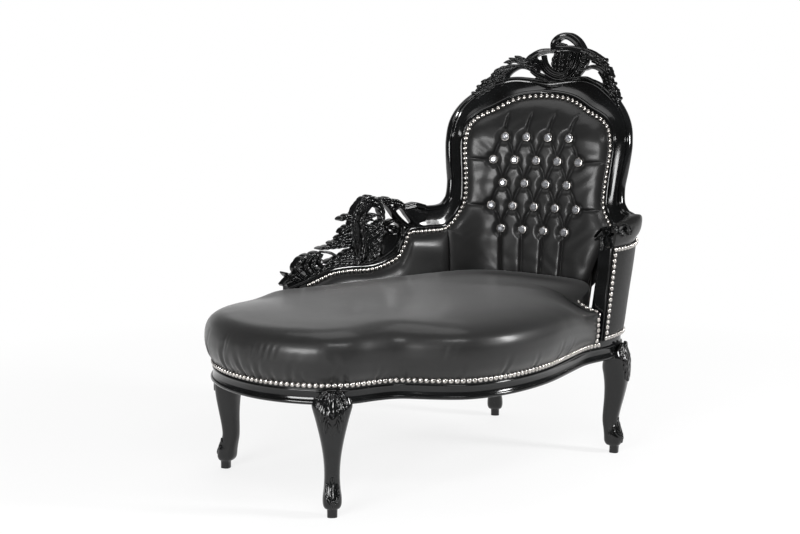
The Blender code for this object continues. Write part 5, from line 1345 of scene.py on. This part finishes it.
# Carved work drawn on squares, which have a corner, steps, a lean and a spread: bands with half their width, their
# relief and the depth of the hollow between their rims, leaves with half their width, their lobes and their curl, and
# eyes with their radius
CREST_PLACE = ((0.8042, 1.2267), (0.00240, 0.00303), (0.000125, 0.0), 0.0000044)
CREST_SQUARE = 0.0027
CREST_BANDS = [
    ([(82.5, 26), (82.5, 19), (86, 14), (92, 11.5), (98.5, 12.5), (105, 17), (109, 22), (112, 27)],
     (3.2, 4.0, 4.0, 3.4), 0.0095, 0.30),
    ([(84, 23.5), (92, 24), (100, 24), (110, 26)], (3.4, 3.4, 3.4), 0.0095, 0.0),
    ([(91, 52), (91.5, 44), (92, 36), (93, 27)], (7.0, 8.0, 8.0, 8.0), 0.003, 0.0),
    ([(68, 47), (62, 42), (56, 38.5), (48, 38.5)], (5.0, 5.5, 5.0, 2.0), 0.003, 0.0),
    ([(86, 57), (76, 54.5), (67, 51), (60, 46.5)], (3.0, 3.6, 3.0, 2.0), 0.003, 0.0),
    ([(44, 42), (36, 46.5), (29, 52), (20, 59), (10, 68)], (3.0, 5.0, 4.5, 4.0, 2.5), 0.003, 0.0),
    ([(104, 52), (109, 44), (113, 35), (117, 31)], (3.0, 4.5, 5.0, 3.0), 0.003, 0.0),
    ([(122, 35), (129, 37.5), (135, 42)], (3.0, 3.5, 3.0), 0.003, 0.0),
    ([(131, 45), (136, 52), (139, 60), (143, 70), (148, 80)], (4.0, 4.5, 4.5, 3.5, 2.5), 0.003, 0.0),
    ([(67, 36), (70, 42), (76, 49), (86, 53.5), (96, 52), (103, 45.5), (107, 37), (109, 28)],
     (1.6, 2.0, 2.0, 1.6), 0.0095, 0.60),
    ([(71.5, 31), (73.5, 39.5), (79.5, 46.5), (87, 49.5), (94, 48), (99.5, 42), (102.5, 35), (104, 28)],
     (1.5, 1.9, 1.7, 1.2), 0.0095, 0.35),
    ([(83, 27), (76, 26.5), (68, 28), (61, 32), (55, 36.5), (48, 38)], (2.4, 3.6, 3.4, 1.4), 0.0095, 0.30),
    ([(72, 53), (65, 49), (58, 44.2), (50, 43), (43, 46), (38, 51), (34, 58)], (1.0, 1.9, 2.0, 1.2), 0.0095, 0.55),
    ([(110, 25), (117, 27.5), (125, 31.5), (132, 35)], (2.6, 3.2, 2.0), 0.0095, 0.30),
    ([(108, 45), (114, 44.5), (121, 42), (128, 43), (134, 47), (137, 53), (138.5, 60)],
     (1.2, 2.6, 3.0, 2.0), 0.0095, 0.40),
    ([(97, 54), (104, 53.5), (112, 52.5), (119, 54.5), (126, 58)], (1.0, 1.5, 1.0), 0.0095, 0.0),
    ([(60, 56.5), (68, 59), (78, 61), (86, 61), (93, 59.5)], (0.8, 1.5, 0.8), 0.0095, 0.0),
    (snail((60.5, 38.5), 6.0, 200, 1.35), (1.7, 1.5, 0.9), 0.0095, 0.30),
    (snail((113, 37.5), 5.0, -60, -1.30), (1.5, 1.3, 0.8), 0.0095, 0.30),
]
CREST_LEAVES = [
    ([(84, 51), (82.5, 43), (82.5, 35), (85.5, 27)], 3.2, 5, 0.003),
    ([(90, 52), (89, 43), (90, 34), (91, 23)], 3.6, 6, 0.005),
    ([(95, 50), (97.5, 42), (98, 34), (100, 27)], 3.0, 5, 0.003),
    ([(82, 22.5), (89, 24), (97, 25), (106, 26)], 2.6, 4, 0.002),
    ([(96, 25), (92, 21), (86, 18.5)], 2.0, 3, 0.002),
    ([(104, 26), (107, 22), (106, 18)], 1.8, 3, 0.002),
    ([(66, 47), (60, 43), (54, 41.5), (48, 41)], 3.0, 4, 0.0),
    ([(58, 40), (50, 37.5), (42, 36.5), (34.5, 38.5)], 3.0, 4, 0.002),
    ([(56, 38), (50, 34.5), (44.5, 31.5)], 2.5, 3, 0.003),
    ([(50, 40), (44.5, 36), (39, 33.5)], 2.3, 3, 0.002),
    ([(48, 42), (39, 43), (30, 46.5), (23.5, 53)], 4.2, 5, 0.002),
    ([(42, 45), (36, 48), (31, 52), (27, 58)], 2.6, 4, 0.0),
    ([(37, 50), (29, 52), (21, 55.5), (14, 58)], 3.2, 4, 0.003),
    ([(32, 54), (24, 58), (17, 62), (10.5, 66)], 3.6, 4, 0.001),
    ([(27, 60), (20, 65), (13, 70), (7, 75)], 3.2, 4, 0.0),
    ([(36, 52), (34.5, 57.5), (31, 63)], 1.8, 3, 0.0),
    ([(64, 53.5), (70, 54), (77, 57), (83, 60)], 1.7, 3, 0.0),
    ([(78, 65.5), (84, 66.5), (91, 65.5)], 1.2, 3, 0.0),
    ([(101, 53), (106.5, 47), (110.5, 40), (112.5, 31)], 2.6, 5, 0.001),
    ([(112, 30), (120, 31), (128, 33.5), (136, 37)], 3.0, 4, 0.002),
    ([(118, 34), (125, 35.5), (131, 38.5), (137, 43)], 2.6, 4, 0.003),
    ([(128, 40), (134, 42), (139, 46), (142, 53)], 2.8, 4, 0.002),
    ([(131, 44), (134, 50), (135, 57), (133, 65)], 2.8, 5, 0.001),
    ([(136, 50), (140, 57), (142, 64), (142, 71)], 3.2, 5, 0.002),
    ([(139, 57), (143.5, 63), (147, 69), (149, 76)], 3.0, 4, 0.002),
    ([(140, 65), (145, 71), (148.5, 78), (150, 86)], 2.6, 4, 0.0),
]
CREST_EYES = [
    ((60.5, 38.5), 1.5), ((113, 37.5), 1.3), ((36, 56), 1.1), ((128, 38), 1.2), ((90.5, 24), 1.6),
    ((46, 34.5), 2.4), ((39, 38), 2.2), ((30.5, 45.5), 2.6), ((25, 50.5), 2.2), ((17.5, 57.5), 2.6),
    ((12, 62.5), 2.3), ((7, 69), 2.2), ((118, 28.5), 2.4), ((126, 31.5), 2.5), ((133.5, 35.5), 2.6),
    ((138, 44), 2.5), ((141, 51.5), 2.4), ((143, 58.5), 2.5), ((146, 65), 2.3), ((149, 72.5), 2.2),
]
SIDE_PLACE = ((0.1130, 0.7755), (0.003384, 0.00271), (0.0, 0.00023))
SIDE_SQUARE = 0.0030
SIDE_TAIL = [(86, 85), (94, 83.5), (103, 80.5), (112, 76.5), (120.5, 70.5), (127, 62.5), (131, 54.5)]
SIDE_BANDS = [
    ([(112, 75), (117, 66), (120.5, 57), (122, 49)], (4, 9, 8, 6), 0.003, 0.0),
    ([(134, 20), (142, 27), (150, 33.5), (158, 37)], (2, 6, 9, 10), 0.004, 0.0),
    ([(60, 83), (72, 79.5), (84, 72), (95, 62), (104, 52), (108, 42)], (3, 6, 9, 9, 7), 0.002, 0.0),
    ([(82, 74), (83.5, 58), (85, 42), (89, 28), (98, 17.5), (106, 18)], (3, 4, 5, 6, 4), 0.002, 0.0),
    ([(10, 103), (22, 96), (34, 91), (48, 87), (62, 84)], (3, 6, 5, 4, 3), 0.002, 0.0),
    (SIDE_TAIL + snail((121.5, 45.5), 10.5, 20, -1.45, inner=0.20), (1.2, 2.2, 2.6, 2.3, 1.6, 0.9), 0.011, 0.50),
    ([(109, 16), (115, 18.5), (120.5, 24), (126.5, 32.5), (134.5, 40), (145, 45), (157, 47)],
     (1.5, 2.6, 2.6, 1.8, 1.0), 0.009, 0.50),
    ([(128, 20.5), (134, 24), (140, 32), (147.5, 40), (158, 44.5)], (1.2, 1.8, 1.8, 1.2), 0.008, 0.0),
    ([(127, 19), (135, 22), (142, 20.5), (148, 19.5), (158, 21.5)], (1.6, 2.4, 2.8, 2.4), 0.009, 0.30),
    ([(5.5, 104), (10, 99.5), (15, 95.5), (20, 92)], (1.2, 2.0, 1.4), 0.007, 0.30),
    ([(47, 70), (55, 71), (62, 74.5)], (0.9, 1.4, 0.9), 0.006, 0.0),
]
SIDE_LEAVES = [
    ([(83, 86), (83.5, 74), (81, 62), (79, 50), (78.5, 39), (81, 28), (86, 19), (92, 13.5)], 4.6, 8, 0.004),
    ([(86, 82), (89.5, 70), (90.5, 58), (89, 47), (88, 37), (91, 27)], 4.0, 6, 0.004),
    ([(92, 83), (98, 73), (104, 63), (108.5, 53), (110.5, 44)], 4.0, 5, 0.002),
    ([(87, 85), (95, 79.5), (103, 72.5), (108.5, 64)], 3.2, 4, 0.001),
    ([(83, 23), (89, 16), (96, 12.8), (103, 15), (108, 21), (110.5, 29), (110.5, 38)], 4.6, 7, 0.003),
    ([(90, 42), (93, 36.5), (97, 32), (103, 30)], 3.6, 4, 0.005),
    ([(84, 36), (88, 40), (95, 43), (103, 43.5)], 3.0, 4, 0.003),
    ([(90, 49), (97, 47), (104, 42), (109, 36)], 3.4, 4, 0.004),
    ([(92, 57), (99, 53), (105.5, 48), (111, 42)], 3.2, 4, 0.003),
    ([(93, 66), (101, 61), (107, 55), (112, 49)], 3.0, 4, 0.002),
    ([(85, 31), (86.5, 25), (91, 20), (97, 18)], 2.8, 4, 0.004),
    ([(81, 33), (75, 32), (69.5, 34), (64, 35.5)], 3.4, 3, 0.002),
    ([(81, 42), (75, 43.5), (69.5, 46.5), (65, 50)], 3.4, 3, 0.002),
    ([(80, 50), (73.5, 51.5), (67.5, 54), (61.5, 56)], 3.4, 3, 0.002),
    ([(81, 57), (72, 58), (63, 60), (54, 61)], 3.6, 5, 0.002),
    ([(80, 63), (70, 63.5), (58, 64.5), (50, 65.5), (42, 66.5)], 3.0, 6, 0.001),
    ([(104, 19), (110, 15), (116, 13.8), (122, 16.5)], 3.8, 4, 0.003),
    ([(114, 20), (121, 16), (128, 16.5), (134, 19.5)], 3.4, 4, 0.002),
    ([(106, 22), (107, 16.5), (110.5, 12.5)], 2.6, 3, 0.003),
    ([(118, 22), (121, 24), (125, 24), (129, 21)], 2.4, 3, 0.001),
    ([(86, 79), (76, 76), (67, 77), (58, 79.5), (50, 81)], 3.8, 5, 0.002),
    ([(84, 85), (73, 84), (61, 84.5), (50, 85.5)], 3.4, 5, 0.001),
    ([(81, 70), (76, 69), (71, 71.5), (65, 75)], 2.6, 3, 0.002),
    ([(40, 93), (36.5, 85), (38.5, 77), (44, 70)], 3.2, 4, 0.003),
    ([(47, 87), (43.5, 82), (43, 77), (46.5, 72)], 2.4, 3, 0.002),
    ([(36, 97), (29.5, 88), (30, 80), (36, 73), (42, 69.5)], 3.0, 4, 0.002),
    ([(30, 99), (22, 93), (19.5, 86), (24.5, 78), (33, 72)], 3.6, 5, 0.002),
    ([(24, 101), (15, 97), (10.5, 93), (7, 90.5)], 2.8, 3, 0.002),
    ([(52, 87.5), (43, 90.5), (35, 96), (28, 101.5)], 2.6, 4, 0.001),
]
SIDE_EYES = [
    ((121, 45.3), 1.7), ((99, 36), 1.3), ((45, 78), 1.0), ((96, 68), 1.1),
]


def carve(work, square, bands, leaves, eyes, leaf_relief, eye_rise, lift=0.0):
    for points, half, relief, rims in bands:
        work.scroll(points, np.array(half) * square, relief, rims)
    for points, half, lobes, curl in leaves:
        work.leaf(points, half * square, leaf_relief, lobes, curl, lift)
    for point, size in eyes:
        work.boss(point, size * square, eye_rise)


def crest():
    work = Carving(lambda x, relief, z: WALL.at(x, 0.003 - relief, z), lambda points: on_squares(points, *CREST_PLACE),
                   0.013)
    carve(work, CREST_SQUARE, CREST_BANDS, CREST_LEAVES, CREST_EYES, 0.0095, 0.0125)
    work.finished("crest_carved", "crest_carving")


def side_scrolls():
    work = Carving(lambda x, relief, z: WALL.at(x, 0.001 - relief, z), lambda points: on_squares(points, *SIDE_PLACE),
                   0.017)
    carve(work, SIDE_SQUARE, SIDE_BANDS, SIDE_LEAVES, SIDE_EYES, 0.0105, 0.012, 0.001)
    work.finished("side_carved", "side_carving")


def arm_scroll():
    """The carved scroll under the roll's end: one volute on the arm's end, the other round on its outer side."""
    end_face = Carving(lambda x, relief, z: WALL.at(ARM_TIP + 0.0075 + relief, x, z), np.array, 0.007)
    end_face.scroll([(-0.036, 0.634), (-0.026, 0.648), (-0.012, 0.660)] + snail((0.003, 0.6560), 0.0125, -110, 1.5),
                    (0.0018, 0.0034, 0.0034, 0.0020), 0.0075, 0.5)
    end_face.leaf([(-0.034, 0.626), (-0.024, 0.632), (-0.010, 0.640), (0.004, 0.640)], 0.0060, 0.006, 4, 0.001)
    end_face.leaf([(0.014, 0.666), (0.022, 0.670), (0.030, 0.664), (0.036, 0.654)], 0.0060, 0.006, 3, 0.001)
    end_face.leaf([(-0.010, 0.642), (-0.012, 0.628), (-0.008, 0.612), (-0.010, 0.598)], 0.0080, 0.005, 4, 0.0)
    end_face.boss((0.003, 0.6560), 0.0046, 0.008)
    outer_side = Carving(lambda x, relief, z: WALL.at(ARM_TIP - x, 0.0430 + relief, z), np.array, 0.004)
    outer_side.scroll([(-0.006, 0.660), (0.006, 0.669), (0.020, 0.671)] + snail((0.0340, 0.6560), 0.0120, -60, 1.4),
                      (0.0022, 0.0034, 0.0034, 0.0020), 0.0060, 0.5)
    outer_side.leaf([(-0.004, 0.650), (0.006, 0.652), (0.014, 0.648), (0.022, 0.640)], 0.0060, 0.0050, 3, 0.0)
    outer_side.boss((0.0340, 0.6560), 0.0044, 0.007)
    end_face.pieces += outer_side.pieces
    end_face.finished("arm_scroll")


# Nails

def nail_model():
    """A domed nail head: half a ball, flattened and sunk in a little."""
    model = added(bpy.ops.mesh.primitive_uv_sphere_add, segments=12, ring_count=8, radius=NAIL_RADIUS)
    worked(cut_level(0, clear_inner=True), squashed(NAIL_RISE / NAIL_RADIUS))
    for vert in model.data.vertices:
        vert.co.z -= NAIL_SINK
    model.data.materials.append(NICKEL)
    return model


def evenly(points, pitch):
    """Places along a line, as near this pitch as fills it."""
    along = lengths_along(points)
    count = max(int(round(along[-1] / pitch)), 1)
    return lerp(np.linspace(0, along[-1], count + 1), along, points)


def nails_on_wall(points, out, front=1.0):
    """Axes and places of nails along a line of wall places, pointing at the sitter, or away with front at -1."""
    rows = []
    for along, height in evenly(np.array(points), NAIL_PITCH):
        right, up, face = WALL.axes(along, out, height)
        rows.append((right * front, up, face * front, WALL.at(along, out, height)))
    return rows


def nail_line(name, model, rows, node):
    dressed(copied(name, model, rows), NICKEL, "nickel", node, angle=NAIL_ANGLE)


def arm_nails():
    """Nails down both ends, along the foot and along the head of the arm's outer cover."""
    left, right, foot = BACK_CENTRE + POST_OUTER + 0.012, ARM_TIP - 0.0085, WALL_FOOT + 0.010
    head = arm_cover_head(60) - (0.0, 0.0080)
    head = head[(head[:, 0] > left + 0.01) & (head[:, 0] < right)]
    outline = np.vstack([[(left, foot), (right, foot), (right, head[-1, 1])], head[::-1]])
    rows = []
    for line in (outline[:2], outline[1:3]):
        rows += nails_on_wall(line, FRAME_REAR + 0.0030, -1.0)[:-1]
    return rows + nails_on_wall(outline[2:], FRAME_REAR + 0.0030, -1.0)


def rail_nails():
    """Nails round the seat's foot, from behind the wall's foot end to the arm's tip."""
    rows = []
    first = RAIL_LOOP.nearest(in_plan([(-0.280, 0.402)])[0])
    last = RAIL_LOOP.nearest(WALL.at(ARM_TIP + 0.004, 0.0, WALL_FOOT)[:2])
    last += RAIL_LOOP.length if last < first else 0.0
    for mark in np.linspace(first, last, int(round((last - first) / NAIL_PITCH)) + 1):
        outward = RAIL_LOOP.outward_at(mark)
        face = np.array([outward[0], outward[1], 0.0])
        right = np.array([-outward[1], outward[0], 0.0])
        place = np.array([*RAIL_LOOP.at(mark, -0.0006), RAIL_TOP - 0.0092])
        rows.append((right, np.cross(face, right), face, place))
    return rows


def corner_nails():
    """Nails up the seat's corner beside the arm's stump and over its shoulder."""
    rows = []
    way = np.linspace(0, 1, 80)
    marks = CORNER + CORNER_RUN * clamped((way - 0.40) / 0.60)
    numbers = np.interp(way, (0.0, 0.40, 0.58, 1.0), (1.9, 6.0, 7.6, 8.2))
    shoulder, beside, above = (seat_surface(marks + shift, numbers + more)
                               for shift, more in ((0.0, 0.0), (0.004, 0.0), (0.0, 0.2)))
    up, out = unit(np.gradient(shoulder, axis=0)), unit(np.cross(beside - shoulder, above - shoulder))
    along = lengths_along(shoulder)
    for mark in np.arange(0.006, along[-1], NAIL_PITCH):
        face, rise, place = (lerp(np.array([mark]), along, line)[0] for line in (out, up, shoulder))
        rows.append((np.cross(rise, face), rise, face, place + face * 0.0008))
    return rows


def nails():
    model = nail_model()
    back_line = LADDER.at(np.linspace(1.6, LADDER_END - 5.2, 900))[:, :2]
    nail_line("back_and_side_nails", model, nails_on_wall(back_line, -0.0045), "back_nail_trim")
    nail_line("arm_nails", model, arm_nails(), "arm_nail_trim")
    nail_line("seat_nails", model, rail_nails() + corner_nails(), "seat_nail_trim")
    bpy.data.objects.remove(model)


# Setting

def area_lamp(name, place, target, size, power):
    lamp = added(bpy.ops.object.light_add, type="AREA", location=place)
    lamp.name = name
    lamp.data.shape = "RECTANGLE"
    lamp.data.size, lamp.data.size_y = size
    lamp.data.energy = power
    lamp.rotation_euler = (Vector(target) - Vector(place)).to_track_quat("-Z", "Y").to_euler()


def studio_floor():
    """A pale floor, which the camera sees lit by itself and the more so the further off, until it is white."""
    floor = added(bpy.ops.mesh.primitive_circle_add, vertices=96, radius=9.0, fill_type="NGON", location=(0, 0, 0))
    floor.name = "studio_floor"
    finish = finish_named("pale_floor")
    shade = finish.blend(finish.noise(2.0, 5.0).between(0.3, 0.7), grey(0.86), grey(0.90))
    matt = finish.node("ShaderNodeBsdfPrincipled", {}, {"Base Color": shade, "Roughness": 0.6,
                                                        "Specular IOR Level": 0.2})
    white = finish.node("ShaderNodeEmission", {}, {"Color": grey(1.0), "Strength": 1.0})
    away = finish.node("ShaderNodeVectorMath", {"operation": "LENGTH"}, {0: finish.place()}, output="Value")
    share = finish.seen() * (away.between(0.9, 2.4) * (1 - FLOOR_WHITE) + FLOOR_WHITE)
    mixed = finish.node("ShaderNodeMixShader", {}, {0: share, 1: matt, 2: white})
    finish.node("ShaderNodeOutputMaterial", {}, {"Surface": mixed})
    floor.data.materials.append(finish.owner)


def studio_world(world):
    """Even light, with a backdrop that the camera sees white and mirrors see white only low down and ahead."""
    sky = Finish(world)
    direction = sky.node("ShaderNodeTexCoord", output="Generated")
    height = sky.node("ShaderNodeSeparateXYZ", {}, {"Vector": direction}, output="Z")
    ahead = sky.node("ShaderNodeVectorMath", {"operation": "DOT_PRODUCT"}, {
        0: direction, 1: (math.sin(CAMERA_TURN), math.cos(CAMERA_TURN), 0.0)}, output="Value")
    cloth = height.between(0.06, 0.32).upside_down() * ahead.between(0.35, 0.80)
    backdrop = sky.blend(cloth.most(sky.ray("Camera")), grey(0.035), grey(1.0))
    light = sky.node("ShaderNodeBackground", {}, {"Color": grey(1.0), "Strength": 0.35})
    shown = sky.node("ShaderNodeBackground", {}, {"Color": backdrop, "Strength": 1.0})
    mixed = sky.node("ShaderNodeMixShader", {}, {0: sky.seen(), 1: light, 2: shown})
    sky.node("ShaderNodeOutputWorld", {}, {"Surface": mixed})


def setting():
    scene = bpy.context.scene
    scene.view_settings.view_transform = "Standard"
    camera = added(bpy.ops.object.camera_add, location=CAMERA_PLACE,
                   rotation=(math.pi / 2 - CAMERA_TILT, 0.0, -CAMERA_TURN))
    camera.name = "camera"
    camera.data.lens, camera.data.sensor_width = LENS, SENSOR
    scene.camera = camera
    studio_floor()
    scene.world = bpy.data.worlds.new("studio")
    studio_world(scene.world)
    for lamp in LAMPS:
        area_lamp(*lamp)


seat_frame()
show_frame()
seat_cushion()
buttons(tufted_back())
side_pad()
arm_inner_pad()
arm_stump()
arm_roll()
outer_covers()
crest()
side_scrolls()
arm_scroll()
nails()
hidden = {"seat_webbing": woven("black_webbing", grey(0.014), grey(0.040), 240),
          "seat_dust_cover": woven("black_lining", grey(0.012), grey(0.035), 420)}
hidden.update(dict.fromkeys(HIDDEN_TIMBER, beech()))
hidden.update(dict.fromkeys(HIDDEN_BOARDS, board()))
for node_name, material in hidden.items():
    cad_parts[node_name].data.materials[0] = material
setting()
